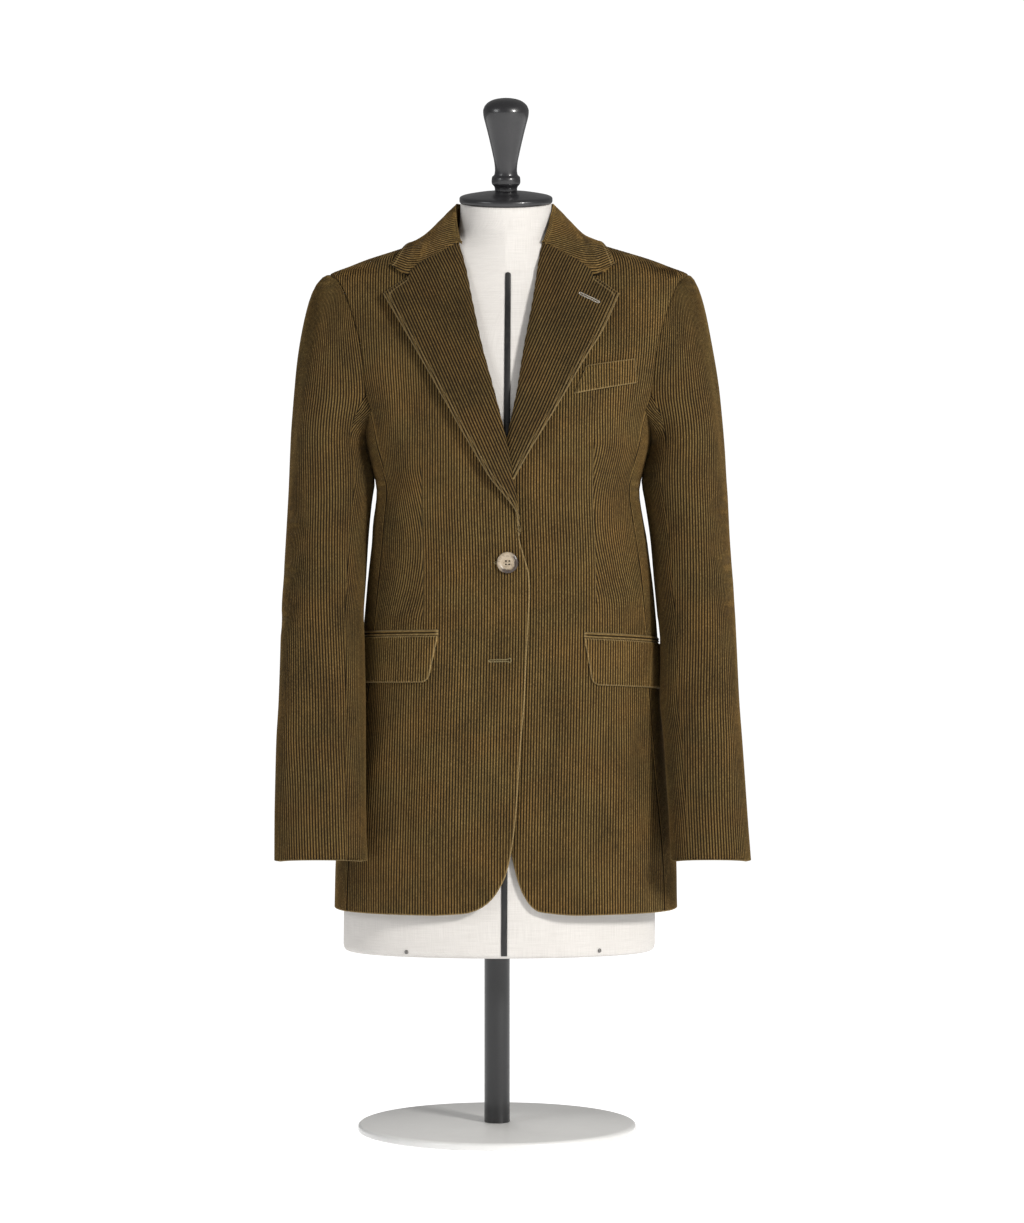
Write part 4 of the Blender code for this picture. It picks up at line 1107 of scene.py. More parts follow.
# ---- The lapels: facings that roll over the front edges and lie on the fronts ----
# Each is corduroy on both faces, sewn to the front's edge and turned back. Its wales slant, its top is
# sewn to the collar as far as the notch, and a line of stitches runs inside its edge.
RIGHT_LAPEL = table(
    "along roll_x roll_height edge_x edge_height",
    (0, 9, 646, 6.5, 636), (0.12, 4.3, 676, 5.5, 657), (0.28, -2, 715, -24, 700.5),
    (0.42, -10, 752, -50, 744), (0.58, -21, 795, -79.5, 795.5), (0.72, -32.5, 838, -100, 831.5),
    (0.86, -44, 893, -119, 864.5), (0.93, -49, 919, -128, 880), (1, -57.4, 952, -136, 894))
LEFT_LAPEL = table(
    "along roll_x roll_height edge_x edge_height",
    (0, -20, 648, -17.5, 638), (0.12, -16, 676, -13, 666), (0.28, -10.5, 715, 5, 705),
    (0.42, -2.5, 757, 27, 743), (0.58, 5.2, 795, 50, 781), (0.72, 12, 838, 73.5, 821),
    (0.86, 22, 893, 94, 854), (0.95, 28.5, 937, 105, 878), (1, 31.6, 952, 111.5, 893.5))
LAPEL_FLAT = 2.5           # the lapel's face above its front, where it lies flat
LAPEL_CREST = 5.2          # and along its rolled edge higher up
EDGE_RISE = 6.2            # its outer edge stands off, and shades the front below it
ROLL_WIDTH = 0.16          # share of the lapel's width that the roll takes
GORGE_TUCK = 4.0           # the lapel's top goes this far under the collar
NOTCH = 0.67               # share of the lapel's top that is sewn to the collar
LAPEL_SLANT = radians(24)  # the wales lean out to the shoulder
LAPEL_PIVOT = (50.0, 770.0)
CREST_START, CREST_WHOLE = 0.42, 0.75      # shares of the length, from the roll's lower end up
TURN_START, TURN_WHOLE = 0.02, 0.3
RISE_START, RISE_WHOLE = 0.03, 0.28


def lapel_lift(u, along):
    """Height of the lapel's face above the front, turning down at the rolled edge."""
    crest = LAPEL_FLAT + (LAPEL_CREST - LAPEL_FLAT) * ease(along, CREST_START, CREST_WHOLE)
    rounded = np.sqrt(1 - (1 - np.clip(u / ROLL_WIDTH, 0, 1)) ** 2)
    turn = ease(along, TURN_START, TURN_WHOLE)
    edge = LAPEL_FLAT + EDGE_RISE * ease(along, RISE_START, RISE_WHOLE)
    return (crest + (edge - crest) * u) * (1 - turn * (1 - rounded))


def ruling(lapel, along):
    """Ends of the straight line across a lapel, from its roll to its edge."""
    roll = np.stack((smooth(lapel, "roll_x", along), smooth(lapel, "roll_height", along)), axis=-1)
    edge = np.stack((smooth(lapel, "edge_x", along), smooth(lapel, "edge_height", along)), axis=-1)
    return roll, edge


def on_lapel(side, lapel, x, height, out):
    """Point of a lapel's face. The line across it that passes through a place is found by halving."""
    at = np.stack((x, height), axis=-1)
    low, high = np.zeros(len(x)), np.ones(len(x))
    for _ in range(24):
        along = (low + high) / 2
        roll, edge = ruling(lapel, along)
        above = side * ((edge - roll)[:, 0] * (at - roll)[:, 1] - (edge - roll)[:, 1] * (at - roll)[:, 0]) > 0
        low, high = np.where(above, along, low), np.where(above, high, along)
    u = ((at - roll) * (edge - roll)).sum(axis=1) / ((edge - roll) ** 2).sum(axis=1)
    inset = lap_inset(x, height) if side == LEFT else 0.0
    return on_front(x, height, lapel_lift(np.clip(u, 0, 1), along) - inset + out)


def make_lapel(side, lapel, name):
    """The lapel's wales slant, so its rows are lines across the front at that slant."""
    slant = -side * LAPEL_SLANT
    pivot = np.array((side * LAPEL_PIVOT[0], LAPEL_PIVOT[1]))

    def to_front(q, b):
        return (pivot[0] + q * cos(slant) - b * sin(slant), pivot[1] + q * sin(slant) + b * cos(slant))

    def from_front(x, height):
        x, height = x - pivot[0], height - pivot[1]
        return x * cos(slant) + height * sin(slant), -x * sin(slant) + height * cos(slant)

    def place(q, b):
        return on_lapel(side, lapel, *to_front(q, b), 0.0)

    along = np.linspace(0, 1, 90)
    roll, edge = ruling(lapel, along)
    rolled, outer = np.stack(from_front(*roll.T)), np.stack(from_front(*edge.T))
    low, high = min(rolled[1].min(), outer[1].min()), max(rolled[1].max(), outer[1].max())
    wide, narrow = max(rolled[0].max(), outer[0].max()) + 6, min(rolled[0].min(), outer[0].min()) - 6
    face = Face(place, narrow, wide, 0.0, np.arange(low - 4, high + 6, 2.0))
    across = np.linspace(0, 1, 22)
    tucked = GORGE_TUCK * (1 - ease(across, NOTCH - 0.06, NOTCH))
    top = rolled[:, -1:] + (outer - rolled)[:, -1:] * across + np.array(((0,), (1,))) * tucked
    notch = np.searchsorted(across, NOTCH)
    bottom = rolled[:, :1] + (outer - rolled)[:, :1] * across
    runs = [
        ("hidden", face.line(*rolled)),
        ("hidden", face.line(*np.stack((rolled[:, -1], top[:, 0]), axis=-1))),
        ("seam", face.line(*top[:, :notch + 1])),
        ("edge", face.line(*top[:, notch:])),
        ("edge", face.line(*outer[:, ::-1])),
        ("edge", face.line(*bottom[:, ::-1])),
    ]
    return cut_cloth(name, face, runs, lapel_corduroy, lapel_corduroy, stitched=LAPEL_STITCH)


for side, word, lapel in ((RIGHT, "right", RIGHT_LAPEL), (LEFT, "left", LEFT_LAPEL)):
    piece = make_lapel(side, lapel, "lapel_" + word + "_corduroy")
    hand_over(piece, "corduroy", "lapel_" + word)
    "front_" + word


# ---- The collar: a stand round the neck that folds over into a fall on the shoulders ----
# It is one piece of corduroy on both faces, sewn to the neck's seam and to the lapels' tops. Its wales
# run out from the fold, and fan where the outer edge is longer than the fold.
COLLAR_X = -7.0
COLLAR = table(
    "along seam_angle seam_height fold_x fold_y fold_height edge_x edge_y edge_height",
    (0, 180, 968, 0, 60, 1003, 0, 73, 948), (0.25, 133, 968, 41, 43, 1003, 60, 59, 948),
    (0.5, 90, 968, 53, 6, 1000, 93, 20, 951), (0.7, 55, 964.5, 53.5, -15, 988, 107, -12, 946),
    (0.85, 37, 957.5, 51.5, -32, 971, 117, -34, 936), (1, 26.5, 952.5, 49.5, -46, 953.5, 126, -47, 927))
FOLD_IN_LEFT, EDGE_IN_LEFT = 12.0, 9.4
SEAM_LIFT = 1.2
GORGE = table(
    "over x height lift",
    (0, 50.4, 951.5, 3.2), (0.06, 54, 948.6, 5.6), (0.2, 66.5, 940.6, 5.8), (0.63, 102.8, 915.6, 4.6),
    (0.8, 113, 920.5, 4.2), (1, 125.5, 928.5, 4.2))
FALL_BULGE = 1.9           # the fall swells this far between the fold and its edge
BULGE_FULLNESS, BULGE_UP = 0.75, 0.6
COLLAR_CLEAR = 3.1         # and its face stays this far off the body's
CLEAR_FROM, CLEAR_WHOLE = 0.05, 0.4        # shares of the fall, from the fold
NEAR_FRONT = 0.72          # share of its half length from where it bends to the gorge
GORGE_CORNER = 0.63        # share of the fall at the lapel's notch
COLLAR_MM = 50.0           # length along the wales for each half of the collar, stand and fall
COLLAR_FAN = 0.35          # how far the wales spread where the fall is longer than its fold
FOLD_ROUND = 0.022         # share of the stand's height over which the fold is rounded


def clear_of_body(points, gap):
    """Moves points that are nearer the body than the gap straight out to it."""
    def measure(at):
        level = np.clip(at[:, 2], HEM, 985)
        power = smooth(BODY, "squareness", level)
        depth = np.where(at[:, 1] < 0, smooth(BODY, "front", level), smooth(BODY, "back", level))
        wide = np.abs(at[:, 0] - smooth(BODY, "centre", level)) / smooth(BODY, "half_width", level)
        return (wide ** power + (np.abs(at[:, 1]) / depth) ** power) ** (1 / power)

    for _ in range(4):
        here = measure(points)
        slope = np.stack([(measure(points + step) - measure(points - step)) / 0.4
                          for step in np.eye(3) * 0.2], axis=-1)
        steep = np.linalg.norm(slope, axis=-1)
        short = np.clip(gap - (here - 1) / steep, 0, 6)
        points = points + slope * (short / steep)[:, None]
    return points


def collar_point(across, v):
    """Across is 0 at the neck seam, 1 at the fold and 2 at the outer edge. v runs from right to left."""
    reach = 2 * v - 1
    along, side = np.abs(reach), np.where(reach < 0, RIGHT, LEFT)
    left = (side > 0) * along ** 2

    def guide(name, moved_in):
        x = side * smooth(COLLAR, name + "_x", along) - left * moved_in + COLLAR_X
        y, height = smooth(COLLAR, name + "_y", along), smooth(COLLAR, name + "_height", along)
        return np.stack((x, y, height), axis=-1)

    fold, edge = guide("fold", FOLD_IN_LEFT), guide("edge", EDGE_IN_LEFT)
    seam = on_body(side * np.radians(smooth(COLLAR, "seam_angle", along)),
                   smooth(COLLAR, "seam_height", along), SEAM_LIFT)
    up = np.clip(across, 0, 1)[:, None]
    over = np.clip(across - 1, 0, 1)[:, None]
    out = np.stack((edge[:, 0] - fold[:, 0], edge[:, 1] - fold[:, 1], 0 * along), axis=-1)
    out = out / np.linalg.norm(out, axis=-1, keepdims=True)
    arch = np.clip(4 * over * (1 - over), 0, 1) ** BULGE_FULLNESS * FALL_BULGE
    lift = np.array((0, 0, 1.0)) * BULGE_UP + out
    stand = seam + (fold - seam) * up
    fall = fold + (edge - fold) * over + lift * arch
    over = over[:, 0]
    moved_in = left * (FOLD_IN_LEFT + (EDGE_IN_LEFT - FOLD_IN_LEFT) * np.clip(over / GORGE_CORNER, 0, 1))
    gorge = on_front(side * smooth(GORGE, "x", over) - moved_in + COLLAR_X,
                     smooth(GORGE, "height", over), smooth(GORGE, "lift", over))
    near_front = ease(along, NEAR_FRONT, 1)[:, None]
    fall = fall + (gorge - fall) * near_front
    fall = fall + (clear_of_body(fall, COLLAR_CLEAR) - fall) * ease(over, CLEAR_FROM, CLEAR_WHOLE)[:, None]
    return np.where(up < 1, stand, fall)


def make_collar():
    """Its rows run round the neck, close together at the fold, which is rounded by averaging."""
    def place(v, b):
        across = np.clip(b / COLLAR_MM, 0, 2)
        return sum(collar_point(np.clip(across + step * FOLD_ROUND, 0, 2), v) for step in (-1, 0, 1)) / 3

    rows = np.concatenate((np.arange(0, 44, 4.0), np.arange(44, 58, 0.5), np.arange(58, 101, 2.5)))
    reach = np.linspace(0.5, 1, 80)
    steps = (np.diff(place(reach, 0 * reach + b), axis=0) for b in rows)
    half = np.array([np.linalg.norm(step, axis=1).sum() for step in steps])
    crowding = (half[np.searchsorted(rows, 50.0)] / half) ** COLLAR_FAN
    face = Face(place, 0, 1, 0.5, rows, steps=600, crowding=crowding)
    across = np.arange(0.0, 101.0, 2.5)
    reach = np.linspace(0, 1, 160)
    runs = [
        ("seam", face.line(reach, 0.0)),
        ("gorge", face.line(1.0, across)),
        ("edge", face.line(reach[::-1], 100.0)),
        ("gorge", face.line(0.0, across[::-1])),
    ]
    return cut_cloth("collar_corduroy", face, runs, collar_corduroy, collar_corduroy, wall=1.8,
                     stitched=LAPEL_STITCH)


collar = make_collar()
hand_over(collar, "corduroy", "collar")


# ---- The two-piece sleeves: each cap is set into its armhole, and both hang a little forward ----
# A wide top piece and a narrow one underneath are sewn along the front and back of the arm, and lined.
# The cap's fullness is eased into the armhole, so its wales fan. The cuffs are plain.
SLEEVE = table(
    "height right_inner right_outer right_y left_inner left_outer left_y half_depth",
    (296, 153.8, 250, -97, 166.6, 250, -93, 38), (339, 155.2, 250.2, -91, 165.5, 247.2, -84, 40),
    (380, 155.7, 249.8, -85, 163, 245, -74, 42), (422, 156.1, 249.2, -78, 161, 242.6, -64, 45),
    (465, 156.6, 247.3, -69, 157, 240.1, -53, 48), (524, 158.3, 246.3, -55, 157.8, 238.2, -39, 52),
    (556, 159.8, 246.2, -43, 155.4, 237.3, -29, 54), (593, 158, 244.9, -29, 152.3, 235.6, -19, 57),
    (636, 156.1, 243.3, -14, 149, 232.9, -9, 60), (679, 152.5, 241.5, -4, 143, 231.1, -3, 62),
    (701, 149.5, 240.6, 0, 139.5, 229.1, 0, 64), (735, 156, 238.3, 2, 146, 226.5, 2, 66))
SLEEVE_CLEAR = table("height gap", (296, 3), (468, 3), (484, 8), (540, 8), (556, 2), (735, 1.6))
CUFF, SLEEVE_TOP = 296.0, 735.0
CUFF_TILT = 0.08
FOREARM_SEAM = radians(54)
SLEEVE_START = -2.2      # the cap's edge is tucked under the armhole's
SLEEVE_RADIUS = 38.0
CAP_FULL = {RIGHT: 27.0, LEFT: 14.0}   # how far each cap swells out at the shoulder's end
CAP_OUT, CAP_LEAN = 4.0, 1.6           # how far it runs out underneath, and how steeply down
CAP_UP, CAP_UP_TOP = 7.0, 88.0         # how far the tube runs up into the cap, and more on top
TUCK_IN, TUCK_UP = 9.0, 18.0           # how far the unrolled face goes on beyond the armhole
FAN_START, FAN = 780.0, 0.6


def armhole_height(turn):
    """Height of the armhole's edge at a turn round it."""
    return ARMHOLE_BOTTOM + (SHOULDER_TIP - ARMHOLE_BOTTOM) * (1 - np.cos(turn)) / 2


def armhole_point(turn, side):
    """Point of the armhole's edge. The turn is 0 underneath, a quarter in front and a half on top."""
    height = armhole_height(turn)
    low = np.sqrt(np.clip((height - ARMHOLE_BOTTOM) / (ARMHOLE_SIDE - ARMHOLE_BOTTOM), 0, 1))
    angle = np.where(height < ARMHOLE_SIDE, np.arccos(np.cos(SIDE_SEAM) * low), armhole_angle(height))
    angle = np.where(np.sin(turn) < 0, pi - angle, angle)
    return body_point(side * angle, height)


def sleeve_ring(turn, height, side):
    """Point of the sleeve's tube below the cap, kept clear of the body."""
    word = "left" if side == LEFT else "right"
    inner, outer = smooth(SLEEVE, word + "_inner", height), smooth(SLEEVE, word + "_outer", height)
    x = side * ((inner + outer) / 2 - (outer - inner) / 2 * np.cos(turn))
    deep = smooth(SLEEVE, "half_depth", height) * np.sin(turn)
    tilt = CUFF_TILT * (1 - ease(height, CUFF, CUFF + 60))
    ring = np.stack((x, smooth(SLEEVE, word + "_y", height) - deep, height + tilt * deep), axis=-1)
    return clear_of_body(ring, smooth(SLEEVE_CLEAR, "gap", height))


def sleeve_point(turn, down, side):
    """Down is 0 at the armhole, 1 where the cap ends and 2 at the cuff."""
    top = 0 * turn + SLEEVE_TOP
    start = armhole_point(turn, side) + np.array((side * SLEEVE_START, 0, 0))
    ring = sleeve_ring(turn, top, side)
    along = ring - sleeve_ring(turn, top - 20, side)
    along = along / np.linalg.norm(along, axis=-1, keepdims=True)
    rise = ((1 - np.cos(turn)) / 2)[:, None]
    outward = np.stack((side + 0 * turn, 0 * turn, -CAP_LEAN * np.cos(turn / 2) ** 6), axis=-1)
    outward = outward / np.linalg.norm(outward, axis=-1, keepdims=True)
    first = start + outward * (CAP_OUT + CAP_FULL[side] * rise)
    second = ring + along * (CAP_UP + CAP_UP_TOP * rise ** 1.25)
    t = np.clip(down, 0, 1)[:, None]
    cap = (start * (1 - t) ** 3 + first * 3 * t * (1 - t) ** 2 + second * 3 * t ** 2 * (1 - t)
           + ring * t ** 3)
    height = SLEEVE_TOP + (CUFF - SLEEVE_TOP) * np.clip(down - 1, 0, 1)
    return np.where(down[:, None] < 1, cap, sleeve_ring(turn, height, side))


class SleeveFace:
    """A sleeve's face by turn and by length down its outer line, each row a level section of it."""

    def __init__(self, side, middle, reach):
        downs = np.concatenate((np.linspace(0, 1, 90) ** 1.3, np.linspace(1.01, 2, 90)))
        self.turns = np.linspace(middle - reach, middle + reach, 181)
        turn, down = np.meshgrid(self.turns, downs, indexing="ij")
        self.lines = sleeve_point(turn.ravel(), down.ravel(), side).reshape(len(self.turns), len(downs), 3)
        tucked = self.lines[:, :1] + np.array((-side * TUCK_IN, 0, TUCK_UP))
        self.lines = np.concatenate((tucked, self.lines), axis=1)
        centre = sleeve_point(pi + 0 * downs, downs, side)
        run = np.concatenate(([0], np.cumsum(np.linalg.norm(np.diff(centre, axis=0), axis=1))))
        self.length, self.level = run, np.minimum.accumulate(centre[:, 2])
        self.rows = np.concatenate((np.linspace(-run[-1] - 4, -64, 110), np.arange(-60, -20, 2.5),
                                    np.arange(-20, -2, 1.0), (-1.5, -1.0, -0.5, -0.2, 0)))
        self.face = Face(self.place, self.turns[0], self.turns[-1], middle, self.rows, side,
                         crowding=self.crowding() if middle else None)

    def crowding(self):
        """The cap's wales fan out from its top, where its fullness is eased in."""
        share = np.clip((self.height(self.rows) - FAN_START) / (SHOULDER_TIP - FAN_START), 0, 1)
        return 1 / (1 - FAN * share ** 1.5)

    def height(self, b):
        return np.interp(-b, self.length, self.level)

    def b_of(self, height):
        return -np.interp(-height, -self.level, self.length)

    def place(self, turn, b):
        """Point of the sleeve, found by its height on the two nearest of its long lines."""
        height = self.height(b)
        made = np.empty((len(turn), 3))
        index = np.round(np.interp(turn, self.turns, np.arange(len(self.turns))), 6)
        low = np.clip(index.astype(int), 0, len(self.turns) - 2)
        share = index - low
        for column in np.unique(low):
            rows = np.flatnonzero(low == column)
            both = []
            for line in (self.lines[column], self.lines[column + 1]):
                fall = np.maximum.accumulate(-line[:, 2]) + np.arange(len(line)) * 1e-6
                places = [np.interp(-height[rows], fall, line[:, axis]) for axis in range(3)]
                both.append(np.stack(places, axis=-1))
            made[rows] = both[0] + (both[1] - both[0]) * share[rows][:, None]
        return made


def make_sleeve_half(side, under, creases, name):
    """The top piece or the one underneath, from the armhole to the cuff."""
    middle = 0.0 if under else pi
    reach = FOREARM_SEAM + 0.25 if under else pi - FOREARM_SEAM + 0.25
    sleeve = SleeveFace(side, middle, reach)
    half = (FOREARM_SEAM if under else pi - FOREARM_SEAM) - SEAM_GAP / 2 / SLEEVE_RADIUS
    turns = middle + np.linspace(-half, half, 161)
    armhole = sleeve.b_of(armhole_height(turns))
    cuff = sleeve.b_of(sleeve_point(turns, 2 + 0 * turns, side)[:, 2])
    runs = [
        ("seam", sleeve.face.line(turns, armhole)),
        ("close seam", sleeve.face.line(turns[-1], np.linspace(armhole[-1], cuff[-1], 100))),
        ("edge", sleeve.face.line(turns[::-1], cuff[::-1])),
        ("close seam", sleeve.face.line(turns[0], np.linspace(cuff[0], armhole[0], 100))),
    ]
    return cut_cloth(name, sleeve.face, runs, sleeve_corduroy, lining, creases=creases)


# The arms' creases: across from the outer line, the front being below 0, and down from the cap's top.
SLEEVE_CREASES = {
    RIGHT: ((-66, -322, -6, -346, 9, -2.8), (-64, -286, -14, -276, 10, -2.2), (-58, -366, 4, -398, 10, -2.2),
            (-30, -392, -22, -600, 15, 2.3), (-50, -110, -34, -280, 15, 2.0), (-8, -60, -4, -230, 16, 1.8),
            (56, -300, 18, -330, 12, -2.6), (52, -346, 20, -372, 11, -2.2), (40, -420, 34, -596, 14, 2.0)),
    LEFT: ((-64, -306, -8, -328, 9, -2.7), (-62, -348, -10, -368, 10, -2.4), (-56, -272, -20, -258, 9, -1.9),
           (-26, -400, -30, -604, 14, 2.2), (-46, -96, -38, -262, 14, 2.0), (-2, -80, -8, -250, 15, 1.7),
           (54, -290, 22, -316, 11, -2.4), (50, -352, 16, -384, 12, -2.5), (38, -410, 36, -590, 15, 1.9)),
}
for side, word in SIDES:
    top = make_sleeve_half(side, False, SLEEVE_CREASES[side], "sleeve_top_" + word + "_corduroy")
    hand_over(top, "corduroy", "sleeve_top_" + word)
    "side_panel_" + word
    under = make_sleeve_half(side, True, (), "sleeve_under_" + word + "_corduroy")
    hand_over(under, "corduroy", "sleeve_under_" + word)
    "side_panel_" + word


# ---- The pockets: a jetted slit with a flap on each hip, and a welt on the left breast ----
# All are folded strips of the same corduroy, sewn on the fronts. A flap hangs from its slit, with a slanted
# front end and a rounded corner, and runs back round the hip.
# For each side: the front end's x and height, and how far the slit falls to the back.
POCKETS = {RIGHT: (75.0, 533.5, 2.5), LEFT: (77.5, 531.0, 7.5)}
POCKET_END = radians(97)
FLAP_OUT, JET_OUT, WELT_OUT = 2.5, 1.6, 2.4       # their faces above the front
JET_LOW, JET_WIDTH, JET_LENGTH = 0.5, 6.5, 105.0
FLAP_DEPTH, FLAP_SLANT = 49.0, 10.0
FLAP_ROUND, CORNER_IN = 9.0, 1.8       # the corner's radius, and how far in from the slant's end it starts
WELT_CORNERS = np.array(((63.6, 787), (130, 800.5), (128.8, 826.5), (76.8, 817.5)))


def pocket_point(side, u, drop, out):
    """u runs round from the pocket's front end, and drop is below its opening."""
    start, height, fall = POCKETS[side]
    level = height - fall * u - drop
    first = np.abs(angle_of(smooth(BODY, "centre", level) + side * start, level))
    return on_body(side * (first + (POCKET_END - first) * u), level, out)


def make_flap(side, name):
    """The flap in its own plane: 0 at the slit, its front end slanted and its corner rounded."""
    def place(q, b):
        return pocket_point(side, side * q, -b, FLAP_OUT - b / FLAP_DEPTH)

    face = Face(place, *sorted((-0.08 * side, 1.06 * side)), 0.0, np.arange(-52, 4, 2.0))
    front = side * np.abs(face.a_of(0.0, 0.0))
    far = face.a_of(side * 1.0, 0.0)
    depth = np.linspace(0, FLAP_DEPTH - FLAP_ROUND, 12)
    turn = np.linspace(0, pi / 2, 9)
    slanted = side * (FLAP_SLANT * depth / FLAP_DEPTH)
    corner = side * (FLAP_SLANT + FLAP_ROUND * (1 - np.cos(turn)) - CORNER_IN * np.cos(turn))
    corner_drop = FLAP_DEPTH - FLAP_ROUND + FLAP_ROUND * np.sin(turn)
    runs = [
        ("edge", np.stack((np.linspace(far, front, 30), np.zeros(30)), axis=-1)),
        ("edge", np.concatenate((np.stack((front + slanted, -depth), axis=-1),
                                 np.stack((front + corner, -corner_drop), axis=-1)[1:]))),
        ("edge", np.stack((np.linspace(front + corner[-1], far, 30), np.full(30, -FLAP_DEPTH)), axis=-1)),
        ("hidden", np.array(((far, -FLAP_DEPTH), (far, 0)))),
    ]
    return cut_cloth(name, face, runs, trim_corduroy, trim_corduroy, wall=1.9, rounding=1.2)


def make_jet(side, name):
    """The jet's wales run along the slit, so its plane is turned: a up and b along."""
    def place(q, b):
        return pocket_point(side, b / JET_LENGTH, -q, JET_OUT)

    face = Face(place, JET_LOW, JET_WIDTH, JET_WIDTH / 2, np.arange(-1, 107, 2.0), -side, steps=24)
    low, high = face.a_of(JET_LOW, 50.0), face.a_of(JET_WIDTH, 50.0)
    corners = ((low, 0), (low, JET_LENGTH), (high, JET_LENGTH), (high, 0), (low, 0))
    runs = [(kind, np.array(corners[index:index + 2]))
            for index, kind in enumerate(("edge", "hidden", "edge", "edge"))]
    return cut_cloth(name, face, runs, trim_corduroy, trim_corduroy, wall=1.2, rounding=0.8)


def make_welt():
    """A slanted strip on the front, given by its four corners."""
    def place(x, height):
        return on_front(x, height, WELT_OUT)

    face = Face(place, 55, 140, 95.0, np.arange(780, 834, 2.0))
    runs = [("edge", face.line(*np.linspace(first, last, 20).T))
            for first, last in zip(WELT_CORNERS, np.roll(WELT_CORNERS, -1, axis=0))]
    return cut_cloth("breast_welt_corduroy", face, runs, trim_corduroy, trim_corduroy, wall=1.2, rounding=0.9)


for side, word in SIDES:
    flap = make_flap(side, "flap_" + word + "_corduroy")
    hand_over(flap, "corduroy", "flap_" + word)
    "front_" + word
    jet = make_jet(side, "jet_" + word + "_corduroy")
    hand_over(jet, "corduroy", "jet_" + word)
    "front_" + word
welt = make_welt()
hand_over(welt, "corduroy", "breast_welt")


# ---- The buttons: two of pale horn, each with four holes. The top one is fastened ----
# They are turned with a raised rim round a shallow dish, and polished. The lower one lies hidden under the
# right front, and only takes the same horn.
BUTTON_X = -5.6
TOP_BUTTON, BUTTON_OUT = 610.0, 1.4
BUTTON_TURN = radians(2)
HOLE_OFFSET, HOLE_RADIUS = 1.75, 0.95
BUTTON_PROFILE = ((9.4, 0), (10.6, 0.5), (11.3, 1.5), (11.1, 2.4), (10.4, 3.2), (9.4, 3.5), (8.4, 3.4),
                  (7.4, 3.0), (6.4, 2.7), (5.0, 2.6), (3.0, 2.6))


def horn():
    """Cream horn with dark swirled patches, and painted shade that gathers on the rim's lower right."""
    made, shader, start = new_material("pale_horn", 0.34, Coat_Weight=0.25, Coat_Roughness=0.12)
    place = object_place(start, (1, 1, 1))
    apart = start.node("ShaderNodeSeparateXYZ", {"Vector": place})
    x, z = (Value(start.tree, apart.outputs[axis]) for axis in "XZ")
    x, z = x - BUTTON_X, z - TOP_BUTTON
    swirl = start.noise(1.0, 4.0, object_place(start, (4.5, 9, 3)))
    from_middle = (x * x + z * z) ** 0.5
    lower_right = (x * 0.75 - z * 0.66) / (from_middle + 0.5)
    rim = (from_middle + swirl * 7.0).between(9.6, 12.2)
    # Painted shade: the rim darkens towards its lower right, with an uneven edge.
    rim_shade = rim * (lower_right + swirl * 1.3).between(0.2, 0.95)
    patch = 1.0 - (swirl - 0.42).maths("ABSOLUTE").between(0.0, 0.045)
    # The horn's own dark patches, and the painted shade on its rim.
    dark = rim_shade.maths("MAXIMUM", patch * 0.45)
    cream = swirl.blend((0.27, 0.21, 0.14, 1), (0.50, 0.41, 0.30, 1))
    feed(shader, dark.blend(cream, (0.045, 0.03, 0.022, 1)), "Base Color")
    feed(shader, 0.25 + swirl * 0.2, "Roughness")
    bumped(shader, swirl, 0.2, 0.3)
    return made


def make_button(name, material):
    """Turned, then pierced by four holes, whose walls are painted dark as shade."""
    button = turned(name, BUTTON_PROFILE, 72, material)
    cutters = []
    for x, y in ((-1, -1), (1, -1), (-1, 1), (1, 1)):
        bpy.ops.mesh.primitive_cylinder_add(vertices=20, radius=HOLE_RADIUS * MM, depth=10 * MM,
                                            location=(x * HOLE_OFFSET * MM, y * HOLE_OFFSET * MM, 2 * MM))
        bpy.context.object.data.materials.append(hole_wall_shade)
        cutters.append(bpy.context.object)
    select_only(*cutters)
    bpy.ops.object.join()
    cutter = bpy.context.object
    select_only(button)
    cut = button.modifiers.new("holes", "BOOLEAN")
    cut.object = cutter
    cut.material_mode = "TRANSFER"
    bpy.ops.object.modifier_apply(modifier=cut.name)
    bpy.data.objects.remove(cutter)
    bpy.ops.object.shade_smooth_by_angle(angle=radians(40))
    place = on_front(np.array([BUTTON_X]), np.array([TOP_BUTTON]), BUTTON_OUT)[0]
    put(button, place, (pi / 2, 0, BUTTON_TURN))
    return button


pale_horn = horn()
# The holes' walls are painted shade: a dark matt colour made with the lacquer's nodes.
hole_wall_shade = lacquer("button_hole_shadow", (0.02, 0.014, 0.01, 1), (0.05, 0.036, 0.026, 1), 0.8)
top_button = make_button("button_top_horn", pale_horn)
hand_over(top_button, "horn", "button_top")
for slot in bpy.data.objects["button_lower"].material_slots:
    slot.material = pale_horn


# ---- Worked buttonholes: purl stitches in silk round a slit ----
# The two of the right front have an eye at one end, and thread of the cloth's colour. The one on the left
# lapel is straight and pale. Each is one thread that goes to and fro across its slit.
LOWER_HOLE, TOP_HOLE = (-25.6, 507.2), (-19.6, 610.0)      # x and height where each front hole starts
FRONT_HOLE, FRONT_EYE = 24.0, 1.3
LOWER_HOLE_RISE = 0.03
HOLE_START, HOLE_END = np.array((69.0, 893.0)), np.array((90.1, 882.3))
LAPEL_HOLE = 23.6
THREAD_OUT = 0.55          # the thread's middle above the cloth
THREAD_RADIUS, STITCH_STEP = 0.34, 0.55


def thread(name, dark, light):
    """Twisted silk: fine slanting plies and a soft gloss."""
    made, shader, start = new_material(name, 0.7, Sheen_Weight=0.05)
    plies = start.noise(1.0, 2.0, object_place(start, (0.5, 0.5, 0.3)))
    feed(shader, plies.blend(dark, light), "Base Color")
    bumped(shader, plies, 0.4, 0.1)
    return made


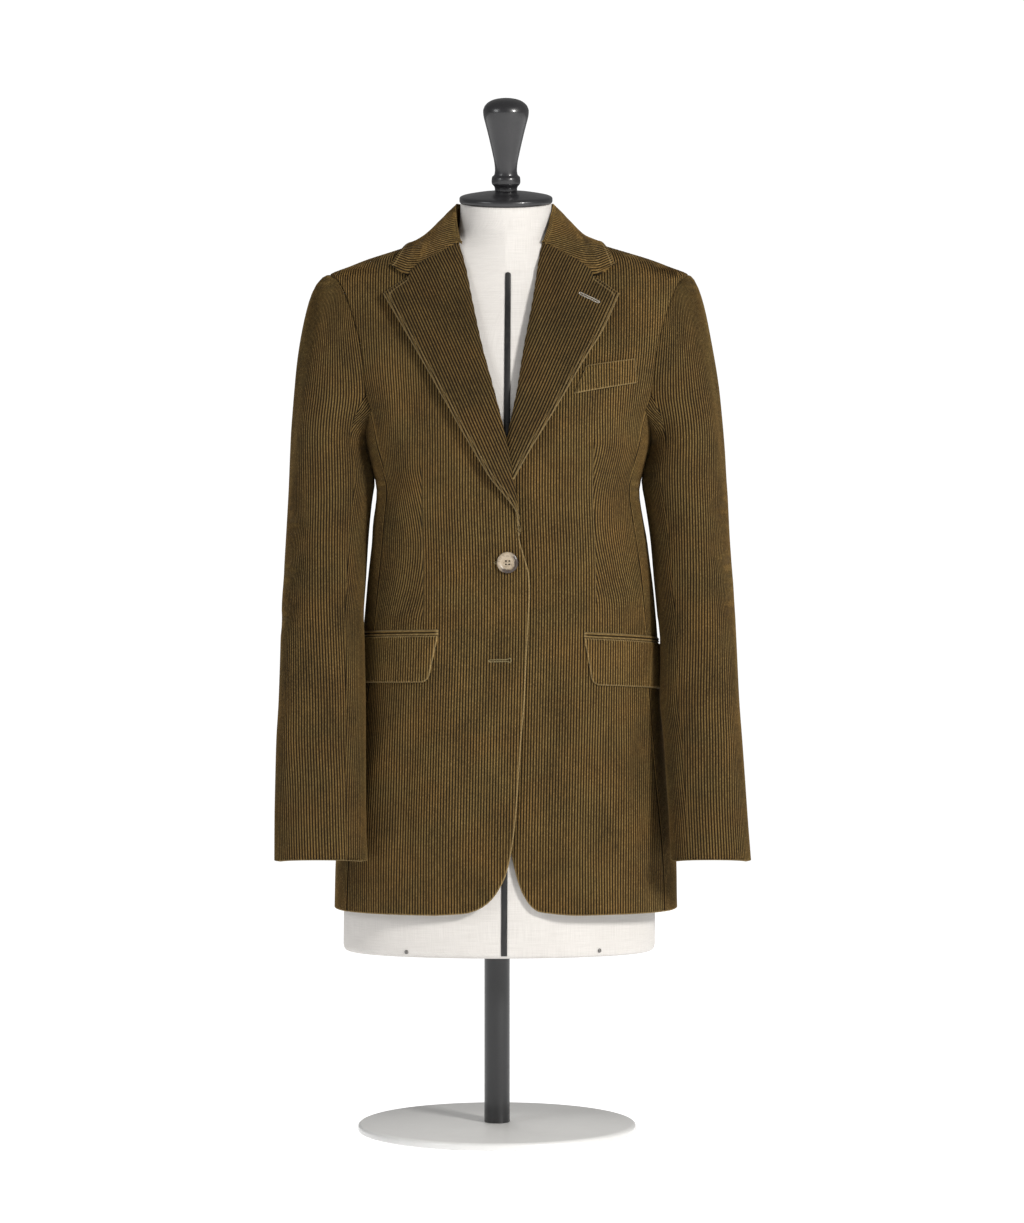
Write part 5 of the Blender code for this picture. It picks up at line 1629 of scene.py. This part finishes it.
def worked(name, place, length, eye, material):
    """One thread to and fro across a slit or keyhole, made a mesh. place(s, t, out) is on the cloth."""
    half, ride = 1.0, 0.75
    run = np.arange(0, 1, STITCH_STEP / (2 * length))
    turn = run * 2
    along = np.where(turn < 1, turn, 2 - turn) * length
    side = np.where(turn < 1, 1, -1)
    wide = half + eye * np.exp(-((along - length + eye) / (eye + 0.4)) ** 2) if eye else half + 0 * along
    near_end = np.clip(np.minimum(along, length - along) / 1.5, 0, 1)
    outward = np.arange(len(run)) % 2 == 0
    across = side * wide * np.sqrt(near_end) + side * np.where(outward, ride, -ride) * 0.8
    points = place(along, across, np.where(outward, 0.25, 0.45))
    curve = bpy.data.curves.new(name, "CURVE")
    curve.dimensions = "3D"
    curve.bevel_depth = THREAD_RADIUS * MM
    curve.bevel_resolution = 1
    curve.use_fill_caps = True
    line = curve.splines.new("POLY")
    line.points.add(len(points) - 1)
    line.points.foreach_set("co", np.concatenate((points * MM, np.ones((len(points), 1))), axis=1).ravel())
    stitches = bpy.data.objects.new(name, curve)
    bpy.context.collection.objects.link(stitches)
    select_only(stitches)
    bpy.ops.object.convert(target="MESH")
    stitches = bpy.context.object
    stitches.data.materials.clear()
    stitches.data.materials.append(material)
    stitches.data.shade_smooth()
    hand_over(stitches, "corduroy")


def at_lower_hole(s, t, out):
    return on_front(LOWER_HOLE[0] + s, LOWER_HOLE[1] + t + LOWER_HOLE_RISE * s, THREAD_OUT + out)


def at_top_hole(s, t, out):
    return on_front(TOP_HOLE[0] + s, TOP_HOLE[1] + t, THREAD_OUT + out)


def at_lapel_hole(s, t, out):
    way = (HOLE_END - HOLE_START) / np.linalg.norm(HOLE_END - HOLE_START)
    x = HOLE_START[0] + s * way[0] - t * way[1]
    height = HOLE_START[1] + s * way[1] + t * way[0]
    return on_lapel(LEFT, LEFT_LAPEL, x, height, THREAD_OUT + out)


olive_thread = thread("olive_thread", (0.24, 0.185, 0.08, 1), (0.42, 0.335, 0.165, 1))
pale_thread = thread("pale_thread", (0.42, 0.38, 0.32, 1), (0.70, 0.66, 0.58, 1))
worked("buttonhole_lower", at_lower_hole, FRONT_HOLE, FRONT_EYE, olive_thread)
worked("buttonhole_top", at_top_hole, FRONT_HOLE, FRONT_EYE, olive_thread)
worked("buttonhole_lapel", at_lapel_hole, LAPEL_HOLE, 0.0, pale_thread)
